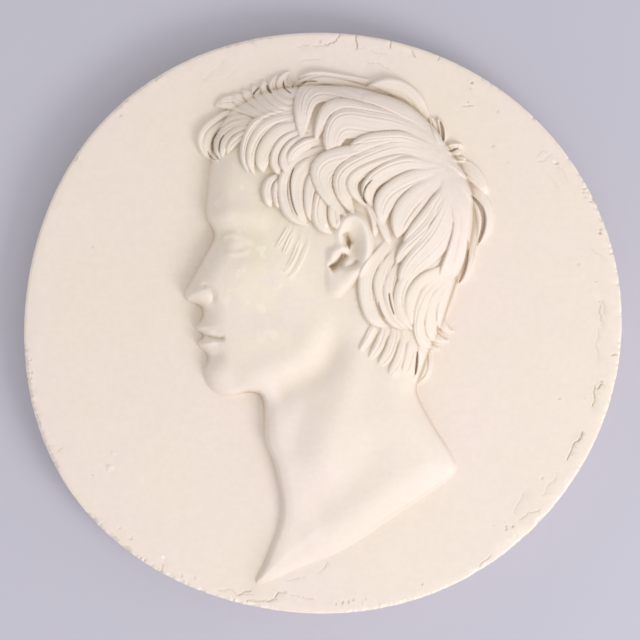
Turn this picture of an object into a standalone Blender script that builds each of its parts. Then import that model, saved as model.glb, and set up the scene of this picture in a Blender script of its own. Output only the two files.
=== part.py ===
"""A round plaster relief plaque: a head in profile, facing left, cast in one piece with its disc.

The plaque hangs with its flat back against a wall. The back lies in the plane y = 0, the front
looks along -Y, +Z is up, and the origin is in the middle of the back. The figure is drawn in
shares of the head's height: u to the right and v up, from the opening of the ear. Heights of the
relief are given in parts, thirty-eight of which make the full depth of the relief.
"""

import math
from collections import namedtuple

import bmesh
import bpy
import numpy as np

# Driving dimensions, in metres
HEAD_HEIGHT = 0.240        # chin to the top of the hair
RELIEF_DEPTH = 0.038       # highest point of the relief above the ground of the disc
DISC_THICKNESS = 0.030     # plain disc, without the relief
RIM_BORDER = 0.0218        # plain disc left beyond the point of the bust
RIM_ROUNDING = 0.0030      # worn front arris
RIM_DRAFT = 0.0015         # how far the side flares from front to back
MESH_PITCH = 0.0022        # spacing of the surface before it is thinned
TRIANGLES = 9400           # left on the finished solid

# Where the opening of the ear lies from the middle of the disc, in metres
EAR_ASIDE = 0.0183
EAR_ABOVE = 0.0521

PART = RELIEF_DEPTH / 38.0

# The hand-cast disc is a little out of round: the waves in its radius, as shares of it
Wave = namedtuple("Wave", "number across up")

OUT_OF_ROUND = [
    Wave(2, 0.0140, 0.0032), Wave(3, 0.0045, -0.0022), Wave(4, -0.0041, 0.0033), Wave(5, 0.0025, -0.0009)]

PLASTER_COLOUR = (0.871, 0.761, 0.680, 1.0)
PLASTER_ROUGHNESS = 0.75

# The outline of the flesh, down the face, round the bust and back over the skull. Each stretch
# says how far in the surface goes on rounding over, and the share of the height that it has
# already gained at the very edge.
Stretch = namedtuple("Stretch", "name rounding foot points")
NEARBY = 0.010               # how softly one stretch gives way to the next

OUTLINE = [
    Stretch("profile", 0.085, 0.14, [
        (-0.360, 0.460), (-0.402, 0.390), (-0.430, 0.280), (-0.440, 0.180), (-0.439, 0.115), (-0.417, 0.058),
        (-0.452, -0.015), (-0.490, -0.082), (-0.508, -0.118), (-0.500, -0.146), (-0.459, -0.166),
        (-0.455, -0.197), (-0.474, -0.232), (-0.453, -0.256), (-0.467, -0.284), (-0.437, -0.322),
        (-0.449, -0.372), (-0.425, -0.426), (-0.370, -0.450)]),
    Stretch("throat", 0.050, 0.28, [
        (-0.300, -0.437), (-0.263, -0.462), (-0.256, -0.585), (-0.228, -0.665), (-0.206, -0.775),
        (-0.212, -0.854), (-0.253, -0.965)]),
    Stretch("point of the bust", 0.040, 0.15, [(-0.278, -1.041)]),
    Stretch("cut of the bust", 0.120, 0.05, [
        (-0.142, -0.986), (0.000, -0.928), (0.158, -0.823), (0.269, -0.750), (0.348, -0.687)]),
    Stretch("nape", 0.090, 0.08, [(0.339, -0.633), (0.285, -0.547), (0.237, -0.459), (0.228, -0.411)]),
    Stretch("skull", 0.120, 0.12, [
        (0.256, -0.330), (0.305, -0.220), (0.345, -0.100), (0.385, 0.000), (0.405, 0.110), (0.398, 0.210),
        (0.352, 0.300), (0.285, 0.400), (0.190, 0.480), (0.050, 0.525), (-0.100, 0.535), (-0.240, 0.520),
        (-0.330, 0.480)])]

# How far the hair's waves carry it to and fro, in shares of the head's height
HAIR_WAVE = 0.0070

# A lock of hair leaves its root at one heading, in degrees, and reaches its tip at another. A
# tier is a row of locks at one level: how far they lift at the root and the tip, in parts, and
# how thick its locks are, in parts, and which side of a lock stands over its neighbour: 1 its
# left and -1 its right, seen along it.
Lock = namedtuple("Lock", "u v leaves tip_u tip_v arrives width")
Tier = namedtuple("Tier", "name root_lift tip_lift thick proud locks")

TIERS = [
    Tier("back rim", 0.6, 2.2, 2.6, -1, [
        Lock(0.330, 0.310, 350, 0.385, 0.297, 345, 0.022),
        Lock(0.330, 0.295, 340, 0.440, 0.190, 280, 0.052),
        Lock(0.350, 0.240, 325, 0.425, 0.030, 245, 0.060),
        Lock(0.365, 0.160, 305, 0.355, -0.085, 235, 0.056)]),
    Tier("nape tails", 0.2, 0.9, 1.8, -1, [
        Lock(0.085, -0.195, 275, 0.045, -0.300, 215, 0.028),
        Lock(0.115, -0.210, 285, 0.075, -0.332, 215, 0.036),
        Lock(0.145, -0.220, 290, 0.100, -0.357, 203, 0.040),
        Lock(0.175, -0.230, 300, 0.130, -0.388, 210, 0.042),
        Lock(0.205, -0.240, 295, 0.180, -0.378, 225, 0.038),
        Lock(0.230, -0.245, 310, 0.202, -0.397, 195, 0.042)]),
    Tier("sideburn", 0.0, 0.1, 0.8, -1, [
        Lock(-0.170, 0.085, 265, -0.215, 0.015, 220, 0.020),
        Lock(-0.150, 0.080, 265, -0.195, -0.005, 225, 0.022),
        Lock(-0.125, 0.070, 270, -0.212, -0.060, 203, 0.026),
        Lock(-0.105, 0.050, 265, -0.200, -0.080, 208, 0.022)]),
    Tier("behind the ear", 0.6, 1.6, 2.0, -1, [
        Lock(0.045, 0.155, 350, 0.085, 0.045, 270, 0.026),
        Lock(0.060, 0.160, 335, 0.135, 0.020, 310, 0.030)]),
    Tier("nape curls", 0.8, 2.4, 2.6, -1, [
        Lock(0.130, 0.035, 235, 0.125, -0.225, 335, 0.052),
        Lock(0.155, 0.000, 230, 0.175, -0.240, 320, 0.050),
        Lock(0.175, -0.030, 235, 0.190, -0.240, 320, 0.044),
        Lock(0.320, 0.020, 218, 0.215, -0.245, 320, 0.060),
        Lock(0.345, -0.020, 225, 0.225, -0.240, 310, 0.056),
        Lock(0.340, -0.050, 222, 0.275, -0.300, 325, 0.052),
        Lock(0.345, -0.055, 228, 0.300, -0.290, 345, 0.044),
        Lock(0.350, -0.060, 235, 0.330, -0.265, 355, 0.046),
        Lock(0.350, -0.070, 240, 0.345, -0.235, 350, 0.036)]),
    Tier("temple low", 0.8, 2.6, 2.8, -1, [
        Lock(-0.190, 0.245, 190, -0.237, 0.145, 300, 0.036),
        Lock(-0.180, 0.235, 205, -0.210, 0.135, 290, 0.034),
        Lock(-0.170, 0.225, 215, -0.165, 0.103, 310, 0.036),
        Lock(-0.050, 0.315, 178, -0.115, 0.085, 345, 0.040),
        Lock(-0.045, 0.290, 185, -0.120, 0.092, 320, 0.056),
        Lock(-0.040, 0.250, 190, -0.105, 0.100, 290, 0.050),
        Lock(-0.035, 0.225, 215, -0.045, 0.070, 335, 0.048),
        Lock(-0.025, 0.190, 235, -0.030, 0.085, 300, 0.036)]),
    Tier("temple high", 0.8, 3.2, 3.0, -1, [
        Lock(-0.145, 0.450, 176, -0.297, 0.262, 300, 0.040),
        Lock(-0.140, 0.430, 175, -0.280, 0.260, 295, 0.044),
        Lock(-0.135, 0.400, 180, -0.250, 0.262, 280, 0.064),
        Lock(-0.120, 0.380, 175, -0.195, 0.240, 305, 0.034),
        Lock(-0.110, 0.365, 185, -0.170, 0.240, 300, 0.038),
        Lock(-0.080, 0.345, 185, -0.165, 0.275, 270, 0.040)]),
    Tier("fringe low", 0.8, 2.8, 2.6, -1, [
        Lock(-0.250, 0.440, 168, -0.405, 0.287, 322, 0.046),
        Lock(-0.265, 0.425, 182, -0.408, 0.290, 315, 0.044),
        Lock(-0.270, 0.405, 180, -0.400, 0.295, 300, 0.040),
        Lock(-0.280, 0.385, 180, -0.390, 0.300, 280, 0.036),
        Lock(-0.290, 0.370, 180, -0.375, 0.310, 255, 0.028)]),
    Tier("fringe top", 0.8, 1.8, 2.6, 1, [
        Lock(-0.215, 0.445, 200, -0.405, 0.474, 200, 0.050),
        Lock(-0.205, 0.450, 197, -0.355, 0.500, 150, 0.050),
        Lock(-0.190, 0.462, 197, -0.318, 0.517, 135, 0.048),
        Lock(-0.165, 0.472, 197, -0.283, 0.538, 110, 0.048),
        Lock(-0.140, 0.480, 197, -0.250, 0.558, 95, 0.048),
        Lock(-0.120, 0.495, 197, -0.208, 0.574, 60, 0.046),
        Lock(-0.105, 0.510, 195, -0.172, 0.578, 35, 0.040)]),
    Tier("parting", 0.8, 2.0, 2.6, -1, [
        Lock(0.090, 0.548, 175, -0.140, 0.556, 190, 0.030),
        Lock(0.070, 0.538, 178, -0.150, 0.536, 195, 0.036),
        Lock(0.050, 0.525, 178, -0.155, 0.500, 215, 0.036),
        Lock(0.040, 0.515, 178, -0.163, 0.462, 242, 0.036)]),
    Tier("crown", 0.6, 3.6, 3.0, -1, [
        Lock(0.285, 0.380, 118, 0.045, 0.515, 205, 0.061),
        Lock(0.270, 0.385, 140, 0.030, 0.495, 180, 0.055),
        Lock(0.260, 0.380, 149, -0.138, 0.362, 277, 0.095),
        Lock(0.250, 0.362, 156, -0.095, 0.350, 260, 0.068),
        Lock(0.250, 0.355, 162, -0.030, 0.282, 290, 0.091),
        Lock(0.260, 0.325, 182, 0.000, 0.300, 230, 0.085),
        Lock(0.275, 0.312, 180, -0.008, 0.125, 316, 0.085),
        Lock(0.275, 0.300, 175, 0.018, 0.130, 300, 0.085),
        Lock(0.270, 0.290, 190, 0.062, 0.145, 312, 0.044),
        Lock(0.285, 0.275, 185, 0.085, 0.140, 290, 0.061),
        Lock(0.300, 0.265, 205, 0.110, 0.080, 275, 0.068),
        Lock(0.310, 0.250, 225, 0.152, 0.045, 262, 0.073),
        Lock(0.318, 0.250, 290, 0.182, 0.000, 262, 0.068),
        Lock(0.326, 0.250, 295, 0.160, -0.035, 240, 0.081),
        Lock(0.338, 0.250, 292, 0.180, -0.110, 255, 0.093),
        Lock(0.345, 0.250, 285, 0.300, -0.070, 225, 0.073),
        Lock(0.355, 0.240, 290, 0.345, -0.060, 235, 0.061)]),
    Tier("whorl", 0.8, 1.5, 1.6, 1, [
        Lock(0.290, 0.345, 100, 0.272, 0.438, 125, 0.022),
        Lock(0.300, 0.345, 75, 0.300, 0.435, 110, 0.020),
        Lock(0.305, 0.340, 25, 0.365, 0.352, 0, 0.018),
        Lock(0.310, 0.330, 5, 0.365, 0.325, -10, 0.020)])]


def clear_scene():
    for thing in list(bpy.data.objects):
        bpy.data.objects.remove(thing, do_unlink=True)


def rise(low, high, x):
    """0 below low, 1 above high, smooth between."""
    t = np.clip((x - low) / (high - low), 0.0, 1.0)
    return t * t * (3.0 - 2.0 * t)


def spline_span(before, start, end, after, samples):
    t = np.linspace(0.0, 1.0, samples, endpoint=False)[:, None]
    line = 2.0 * start + (end - before) * t
    bend = (2.0 * before - 5.0 * start + 4.0 * end - after) * t ** 2
    swing = (3.0 * start - before - 3.0 * end + after) * t ** 3
    return 0.5 * (line + bend + swing)


def smooth_path(points, samples=6):
    """An open curve through the points."""
    points = np.array(points, dtype=float)
    rows = np.vstack([2.0 * points[0] - points[1], points, 2.0 * points[-1] - points[-2]])
    spans = [spline_span(*rows[i:i + 4], samples) for i in range(len(points) - 1)]
    return np.vstack(spans + [points[-1:]])


def smooth_loop(points, samples=5):
    """A closed curve through the points, with its first point repeated at the end."""
    points = np.array(points, dtype=float)
    count = len(points)
    spans = [
        spline_span(points[i - 1], points[i], points[(i + 1) % count], points[(i + 2) % count], samples)
        for i in range(count)]
    return np.vstack(spans + [points[:1]])


def near_path(u, v, path):
    """Distance to a path, where the nearest point is, as a row number, and how far left of it."""
    gap = np.full(u.shape, 9.0)
    place = np.zeros(u.shape)
    left = np.zeros(u.shape)
    for row, (start, end) in enumerate(zip(path[:-1, :2], path[1:, :2])):
        du, dv = end - start
        length = math.hypot(du, dv)
        from_u, from_v = u - start[0], v - start[1]
        t = np.clip((from_u * du + from_v * dv) / length ** 2, 0.0, 1.0)
        here = np.hypot(from_u - t * du, from_v - t * dv)
        closer = here < gap
        gap = np.where(closer, here, gap)
        place = np.where(closer, row + t, place)
        left = np.where(closer, (du * from_v - dv * from_u) / length, left)
    return gap, place, left


def inside_loop(u, v, loop):
    inside = np.zeros(u.shape, dtype=bool)
    for (start_u, start_v), (end_u, end_v) in zip(loop[:-1, :2], loop[1:, :2]):
        if start_v == end_v:
            continue
        spans = (start_v > v) != (end_v > v)
        inside ^= spans & (u < (end_u - start_u) * (v - start_v) / (end_v - start_v) + start_u)
    return inside


def turned(u, v, centre, lean):
    """Distances from a centre along and across a direction that leans by so many degrees."""
    angle = math.radians(lean)
    from_u, from_v = u - centre[0], v - centre[1]
    along = from_u * math.cos(angle) + from_v * math.sin(angle)
    across = from_v * math.cos(angle) - from_u * math.sin(angle)
    return along, across


def dome(u, v, centre, radii, top, lean=0.0):
    """Half an ellipsoid that stands on the ground."""
    along, across = turned(u, v, centre, lean)
    return top * np.sqrt(np.clip(1.0 - (along / radii[0]) ** 2 - (across / radii[1]) ** 2, 0.0, None))


def mound(u, v, centre, radii, lean=0.0):
    """A soft swelling of height 1."""
    along, across = turned(u, v, centre, lean)
    return np.exp(-(along / radii[0]) ** 2 - (across / radii[1]) ** 2)


def ridge(u, v, points, half_width, fade):
    """A soft ridge of height 1 along a curve; its ends fade out over a share of its length."""
    path = smooth_path(points)
    gap, place, _ = near_path(u, v, path)
    share = place / (len(path) - 1)
    ends = rise(0.0, fade, share) * rise(0.0, fade, 1.0 - share)
    return np.exp(-(gap / half_width) ** 2) * ends


def blend_max(a, b, blend):
    """The higher of two surfaces, with a rounded inner corner."""
    share = np.clip(0.5 + 0.5 * (a - b) / blend, 0.0, 1.0)
    return a * share + b * (1.0 - share) + blend * share * (1.0 - share)


def outline_edge(u, v):
    """How far inside the flesh each point lies, and how the surface rounds over there."""
    rows = [(pu, pv, reach, foot) for _, reach, foot, points in OUTLINE for pu, pv in points]
    loop = smooth_loop(rows)
    gap, _, _ = near_path(u, v, loop)
    total, rounding, foot = np.zeros(u.shape), np.zeros(u.shape), np.zeros(u.shape)
    for corner_u, corner_v, here_reach, here_foot in loop:
        weight = 1.0 / ((u - corner_u) ** 2 + (v - corner_v) ** 2 + NEARBY ** 2) ** 3
        total += weight
        rounding += weight * here_reach
        foot += weight * here_foot
    return np.where(inside_loop(u, v, loop), gap, -gap), rounding / total, foot / total


def head_mass(u, v):
    """The large masses of the head, as shares of the relief's depth."""
    mass = dome(u, v, (0.03, 0.12), (0.52, 0.52), 0.80)
    mass = blend_max(mass, dome(u, v, (-0.15, -0.05), (0.42, 0.50), 0.70, -8), 0.06)
    mass = blend_max(mass, dome(u, v, (-0.22, -0.22), (0.27, 0.27), 0.62), 0.05)
    mass = blend_max(mass, dome(u, v, (-0.44, -0.09), (0.115, 0.16), 0.40, -25), 0.06)
    mass = blend_max(mass, dome(u, v, (-0.40, -0.25), (0.10, 0.10), 0.44), 0.05)
    return blend_max(mass, dome(u, v, (-0.36, 0.20), (0.12, 0.30), 0.42), 0.06)


def neck_mass(u, v):
    """A leaning column that flattens towards the cut of the bust."""
    top = np.array([0.045, -0.250])
    run = np.array([0.020, -0.950]) - top
    length = math.hypot(*run)
    across = ((u - top[0]) * run[1] - (v - top[1]) * run[0]) / length
    along = ((u - top[0]) * run[0] + (v - top[1]) * run[1]) / length ** 2
    half = 0.325 + 0.10 * np.clip(along, 0.0, 1.0)
    column = np.sqrt(np.clip(1.0 - (across / half) ** 2, 0.0, None))
    return column * (0.56 - 0.40 * rise(0.35, 1.05, along)) * rise(-0.55, 0.10, along)


def neck_modelling(u, v):
    """The long muscle of the neck, the hollows beside it and the swell along the cut."""
    shape = 0.055 * ridge(u, v, [(0.06, -0.16), (0.02, -0.36), (-0.04, -0.55), (-0.10, -0.72)], 0.055, 0.15)
    shape -= 0.040 * ridge(u, v, [(-0.10, -0.40), (-0.14, -0.52), (-0.18, -0.68)], 0.040, 0.30)
    shape += 0.030 * ridge(u, v, [(0.30, -0.655), (0.16, -0.74), (0.00, -0.84), (-0.14, -0.92)], 0.050, 0.10)
    shape -= 0.050 * ridge(u, v, [(0.14, -0.52), (0.08, -0.65), (-0.03, -0.78), (-0.14, -0.84)], 0.060, 0.25)
    return shape


def eye_modelling(u, v):
    brow = [(-0.425, 0.105), (-0.360, 0.125), (-0.280, 0.115), (-0.220, 0.075)]
    upper_lid = [(-0.392, 0.040), (-0.370, 0.059), (-0.330, 0.056), (-0.280, 0.020)]
    lower_lid = [(-0.384, 0.008), (-0.355, 0.000), (-0.320, 0.004), (-0.288, 0.018)]
    shape = -3.2 * mound(u, v, (-0.345, 0.045), (0.075, 0.055))
    shape += 1.6 * ridge(u, v, brow, 0.028, 0.3)
    shape += 2.6 * mound(u, v, (-0.352, 0.034), (0.036, 0.030))
    shape += 1.1 * ridge(u, v, upper_lid, 0.010, 0.2)
    shape += 0.8 * ridge(u, v, lower_lid, 0.009, 0.3)
    shape -= 0.8 * mound(u, v, (-0.230, 0.130), (0.060, 0.080))
    return shape


def nose_modelling(u, v):
    wing = [(-0.462, -0.098), (-0.430, -0.102), (-0.412, -0.130), (-0.418, -0.162)]
    opening = [(-0.500, -0.158), (-0.480, -0.150), (-0.460, -0.158)]
    shape = 3.0 * mound(u, v, (-0.452, -0.134), (0.034, 0.028))
    shape -= 1.8 * ridge(u, v, wing, 0.010, 0.25)
    shape -= 2.5 * ridge(u, v, opening, 0.009, 0.3)
    return shape


def mouth_modelling(u, v):
    parting = [(-0.475, -0.256), (-0.440, -0.254), (-0.400, -0.262), (-0.372, -0.262)]
    upper_lip = [(-0.480, -0.236), (-0.445, -0.238), (-0.400, -0.252)]
    lower_lip = [(-0.470, -0.280), (-0.440, -0.280), (-0.395, -0.272)]
    shape = -2.4 * ridge(u, v, parting, 0.009, 0.15)
    shape += 1.5 * ridge(u, v, upper_lip, 0.013, 0.25)
    shape += 1.7 * ridge(u, v, lower_lip, 0.015, 0.3)
    shape -= 1.3 * ridge(u, v, [(-0.440, -0.318), (-0.405, -0.318), (-0.375, -0.305)], 0.018, 0.4)
    return shape


def cheek_and_jaw_modelling(u, v):
    jaw = [(-0.360, -0.405), (-0.250, -0.365), (-0.140, -0.310), (-0.045, -0.160)]
    under_jaw = [(-0.270, -0.455), (-0.160, -0.410), (-0.060, -0.345), (0.005, -0.180)]
    shape = 1.8 * mound(u, v, (-0.405, -0.375), (0.050, 0.045))
    shape += 1.6 * mound(u, v, (-0.240, -0.050), (0.085, 0.050), -20)
    shape -= 1.4 * mound(u, v, (-0.270, -0.190), (0.070, 0.090), -15)
    shape += 2.0 * ridge(u, v, jaw, 0.045, 0.2)
    shape -= 3.0 * ridge(u, v, under_jaw, 0.045, 0.25)
    return shape


EAR_PLATE = [
    (-0.030, 0.025), (-0.031, 0.070), (-0.014, 0.110), (0.022, 0.128), (0.060, 0.106), (0.083, 0.050),
    (0.080, -0.008), (0.061, -0.050), (0.032, -0.084), (0.004, -0.112), (-0.026, -0.133), (-0.053, -0.121),
    (-0.061, -0.080), (-0.059, -0.030), (-0.055, 0.012)]
EAR_RIM = [
    (-0.014, 0.028), (-0.018, 0.065), (-0.004, 0.100), (0.026, 0.111), (0.054, 0.090), (0.066, 0.045),
    (0.063, 0.000), (0.047, -0.040), (0.014, -0.063), (-0.016, -0.066)]


def add_ear(u, v, skin):
    """The ear laid over the skin: its plate, its rolled rim, its hollows and its lobe."""
    upper_wedge = [(-0.004, 0.070), (0.004, 0.048), (0.016, 0.022)]
    fold = [(-0.020, 0.024), (0.000, 0.016), (0.018, 0.014)]
    lower_notch = [(-0.002, 0.004), (-0.010, -0.016), (-0.028, -0.036), (-0.052, -0.048)]
    over_the_lobe = [(-0.024, -0.034), (0.000, -0.040), (0.026, -0.034), (0.042, -0.014)]
    loop = smooth_loop(EAR_PLATE)
    gap, _, _ = near_path(u, v, loop)
    edge = np.where(inside_loop(u, v, loop), gap, -gap)
    shape = 3.6 * rise(-0.008, 0.016, edge) * (1.0 - 0.45 * rise(0.03, -0.06, u))
    shape += 2.2 * ridge(u, v, EAR_RIM, 0.019, 0.15)
    shape -= 6.0 * mound(u, v, (0.022, 0.024), (0.032, 0.060), 8)
    shape -= 3.5 * ridge(u, v, upper_wedge, 0.012, 0.25)
    shape += 1.5 * ridge(u, v, fold, 0.009, 0.3)
    shape -= 6.0 * ridge(u, v, lower_notch, 0.012, 0.15)
    shape -= 2.0 * ridge(u, v, over_the_lobe, 0.010, 0.2)
    shape += 2.0 * mound(u, v, (-0.038, -0.006), (0.015, 0.022), -20)
    shape += 1.4 * mound(u, v, (-0.022, -0.098), (0.026, 0.030), -20)
    return skin + shape * PART


def skin_height(u, v):
    """Height of the flesh above the ground of the disc."""
    edge, rounding, foot = outline_edge(u, v)
    mass = blend_max(head_mass(u, v), neck_mass(u, v), 0.05) + neck_modelling(u, v)
    over = 1.0 - np.clip(edge / rounding, 0.0, 1.0)
    rounded = foot * rise(0.0, 0.02, edge) + (1.0 - foot) * np.sqrt(1.0 - over ** 2)
    face = eye_modelling(u, v) + nose_modelling(u, v) + mouth_modelling(u, v) + cheek_and_jaw_modelling(u, v)
    skin = mass * rounded * RELIEF_DEPTH + face * rise(0.0, 0.03, edge) * PART
    return np.maximum(add_ear(u, v, np.where(edge > 0.0, skin, 0.0)), 0.0)


def lock_path(lock, samples=24):
    """The centre line of a lock: a curve that leaves its root and meets its tip at their headings."""
    root, tip = np.array([lock.u, lock.v]), np.array([lock.tip_u, lock.tip_v])
    run = math.dist(root, tip)
    bearing = math.degrees(math.atan2(*(tip - root)[::-1]))
    handles = []
    for heading in (lock.leaves, lock.arrives):
        off = math.radians((heading - bearing + 180.0) % 360.0 - 180.0)
        angle = math.radians(heading)
        handles.append(np.array([math.cos(angle), math.sin(angle)]) * run / (3.0 * math.cos(0.5 * off) ** 2))
    t = np.linspace(0.0, 1.0, samples + 1)[:, None]
    left = 1.0 - t
    leaving = 3.0 * left ** 2 * t * (root + handles[0])
    arriving = 3.0 * left * t ** 2 * (tip - handles[1])
    return left ** 3 * root + leaving + arriving + t ** 3 * tip


def add_lock(u, v, base, hair, lock, tier):
    """Raises the hair to one lock: a ramp from its tucked side up to its proud side."""
    path = lock_path(lock)
    half = lock.width / 2.0
    low, high = path.min(axis=0) - lock.width, path.max(axis=0) + lock.width
    near = (u > low[0]) & (u < high[0]) & (v > low[1]) & (v < high[1])
    if not near.any():
        return
    gap, place, left = near_path(u[near], v[near], path)
    share = place / (len(path) - 1)
    taper = (0.45 + 0.55 * rise(0.0, 0.38, share)) * (1.0 - share ** 4) ** 0.7 + 0.03
    across = np.where(left * tier.proud > 0.0, gap, -gap) / (half * taper)
    ramp = np.clip(0.5 + 0.5 * across, 0.0, 1.0)
    shoulder = np.sqrt(1.0 - (np.clip(ramp - 0.72, 0.0, 1.0) / 0.31) ** 2)
    body = (1.0 - (1.0 - ramp) ** 1.5) * shoulder
    lift = tier.root_lift + (tier.tip_lift - tier.root_lift) * rise(0.05, 0.85, share)
    lift = lift * rise(0.0, 0.12, share) - 1.6 * rise(0.86, 1.0, share)
    beyond = np.clip(np.abs(across) - 1.0, 0.0, None) * half * taper
    parts = lift + tier.thick * (0.3 + 0.7 * rise(0.0, 0.4, share)) * taper * body - beyond * 620.0
    hair[near] = np.maximum(hair[near], np.where(beyond < 0.012, base[near] + parts * PART, 0.0))


def wavy(u, v):
    """The same places, carried a little to and fro, which makes the locks laid over them wavy."""
    sideways = HAIR_WAVE * np.sin(25.0 * v + 1.5 * np.sin(9.0 * u) + 2.0)
    upwards = HAIR_WAVE * np.sin(23.0 * u + 1.5 * np.sin(11.0 * v) + 1.0)
    return u + sideways, v + upwards


def hair_height(u, v, skin):
    """The hair, tier over tier."""
    u, v = wavy(u, v)
    base = np.maximum(skin, 2.0 * PART)
    hair = np.zeros(u.shape)
    for tier in TIERS:
        for lock in tier.locks:
            add_lock(u, v, base, hair, lock, tier)
    return hair


def relief_height(x, z):
    """Height of the relief above the ground, at places on the disc in metres."""
    u = (x - EAR_ASIDE) / HEAD_HEIGHT
    v = (z - EAR_ABOVE) / HEAD_HEIGHT
    skin = skin_height(u, v)
    return np.maximum(skin, hair_height(u, v, skin))


def figure_reach():
    """Distance of the farthest point of the bust from the middle of the disc."""
    return max(
        math.hypot(EAR_ASIDE + HEAD_HEIGHT * u, EAR_ABOVE + HEAD_HEIGHT * v)
        for stretch in OUTLINE for u, v in stretch.points)


def disc_radius(angle):
    """Radius of the flat ground at each angle, with the waves of the hand-cast rim."""
    waves = sum(
        wave.across * np.cos(wave.number * angle) + wave.up * np.sin(wave.number * angle)
        for wave in OUT_OF_ROUND)
    return (figure_reach() + RIM_BORDER) * (1.0 + waves) - RIM_ROUNDING


def shape_front(mesh):
    """Bends a square grid to the disc and raises the relief on it."""
    lines = 2 * int(math.ceil((figure_reach() + RIM_BORDER) / MESH_PITCH)) + 1
    bmesh.ops.create_grid(mesh, x_segments=lines, y_segments=lines, size=1.0)
    square = np.array([corner.co[:2] for corner in mesh.verts])
    across = square[:, 0] * np.sqrt(1.0 - square[:, 1] ** 2 / 2.0)
    up = square[:, 1] * np.sqrt(1.0 - square[:, 0] ** 2 / 2.0)
    radius = disc_radius(np.arctan2(up, across))
    x, z = across * radius, up * radius
    height = relief_height(x, z)
    for corner, place in zip(mesh.verts, np.stack([x, -DISC_THICKNESS - height, z], axis=1)):
        corner.co = place


def extend_rim(mesh, outwards, depth):
    """Carries the open edge outwards, to a depth behind the ground of the disc."""
    edge = [side for side in mesh.edges if side.is_boundary]
    made = bmesh.ops.extrude_edge_only(mesh, edges=edge)["geom"]
    for corner in (item for item in made if isinstance(item, bmesh.types.BMVert)):
        radius = math.hypot(corner.co.x, corner.co.z)
        corner.co.x *= 1.0 + outwards / radius
        corner.co.z *= 1.0 + outwards / radius
        corner.co.y = depth - DISC_THICKNESS


def shape_side_and_back(mesh):
    corners = 3
    done = 0.0
    for number in range(1, corners + 1):
        angle = math.radians(90.0) * number / corners
        outwards = RIM_ROUNDING * math.sin(angle)
        extend_rim(mesh, outwards - done, RIM_ROUNDING * (1.0 - math.cos(angle)))
        done = outwards
    extend_rim(mesh, RIM_DRAFT, DISC_THICKNESS)
    bmesh.ops.contextual_create(mesh, geom=[side for side in mesh.edges if side.is_boundary])
    bmesh.ops.recalc_face_normals(mesh, faces=mesh.faces)


def plaster():
    material = bpy.data.materials.new("plaster")
    material.use_nodes = True
    shader = material.node_tree.nodes["Principled BSDF"]
    shader.inputs["Base Color"].default_value = PLASTER_COLOUR
    shader.inputs["Roughness"].default_value = PLASTER_ROUGHNESS
    shader.inputs["Metallic"].default_value = 0.0
    return material


def thinned(plaque):
    """The plaque's mesh with fewer triangles, and its back brought exactly into the wall's plane."""
    thin = plaque.modifiers.new("thin", "DECIMATE")
    plaque.data.calc_loop_triangles()
    thin.ratio = min(1.0, TRIANGLES / len(plaque.data.loop_triangles))
    ready = plaque.evaluated_get(bpy.context.evaluated_depsgraph_get())
    mesh = bpy.data.meshes.new_from_object(ready)
    plaque.modifiers.clear()
    for corner in mesh.vertices:
        corner.co = [round(value, 5) for value in corner.co]
        if corner.co.y > -DISC_THICKNESS / 4.0:
            corner.co.y = 0.0
    return mesh


def make_plaque():
    shape = bmesh.new()
    shape_front(shape)
    shape_side_and_back(shape)
    mesh = bpy.data.meshes.new("relief_plaque")
    shape.to_mesh(mesh)
    shape.free()
    plaque = bpy.data.objects.new("relief_plaque", mesh)
    bpy.context.collection.objects.link(plaque)
    plaque.data = thinned(plaque)
    plaque.data.materials.clear()
    plaque.data.materials.append(plaster())
    plaque.data.shade_smooth()
    plaque.data.set_sharp_from_angle(angle=math.radians(40.0))
    return plaque


clear_scene()
make_plaque()
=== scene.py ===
"""The looks of a round plaster relief plaque: a head in profile, cast in one piece with its disc.

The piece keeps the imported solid's form and adds the cutting of the hair, the wear of the rim and
the plaster itself. The figure is drawn in shares of the head's height: u to the right and v up,
from the opening of the ear. Heights of the relief are given in parts, thirty-eight of which make
the full depth of the relief.
"""

import math
from collections import namedtuple

import bpy
import numpy as np
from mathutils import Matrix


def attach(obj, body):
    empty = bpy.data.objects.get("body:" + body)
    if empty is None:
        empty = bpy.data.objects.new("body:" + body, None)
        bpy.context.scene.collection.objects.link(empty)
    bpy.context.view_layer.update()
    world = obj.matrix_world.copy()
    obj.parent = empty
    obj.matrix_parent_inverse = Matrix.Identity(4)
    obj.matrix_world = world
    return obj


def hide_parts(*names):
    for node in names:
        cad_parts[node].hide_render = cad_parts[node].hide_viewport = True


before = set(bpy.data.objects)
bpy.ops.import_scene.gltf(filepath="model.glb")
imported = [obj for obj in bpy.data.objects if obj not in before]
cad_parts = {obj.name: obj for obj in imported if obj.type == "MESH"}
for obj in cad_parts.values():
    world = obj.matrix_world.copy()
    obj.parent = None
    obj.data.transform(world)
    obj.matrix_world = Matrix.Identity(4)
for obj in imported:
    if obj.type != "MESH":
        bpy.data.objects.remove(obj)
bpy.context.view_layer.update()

# Driving dimensions, in metres
HEAD_HEIGHT = 0.240        # chin to the top of the hair
RELIEF_DEPTH = 0.038       # highest point of the relief above the ground of the disc
DISC_THICKNESS = 0.030     # plain disc, without the relief
RIM_BORDER = 0.0218        # plain disc left beyond the point of the bust
RIM_ROUNDING = 0.0030      # worn front arris
RIM_DRAFT = 0.0015         # how far the side flares from front to back

# Where the opening of the ear lies from the middle of the disc, in metres
EAR_ASIDE = 0.0183
EAR_ABOVE = 0.0521

PART = RELIEF_DEPTH / 38.0

# The hand-cast disc is a little out of round: the waves in its radius, as shares of it
Wave = namedtuple("Wave", "number across up")

OUT_OF_ROUND = [
    Wave(2, 0.0140, 0.0032), Wave(3, 0.0045, -0.0022), Wave(4, -0.0041, 0.0033), Wave(5, 0.0025, -0.0009)]

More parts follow.
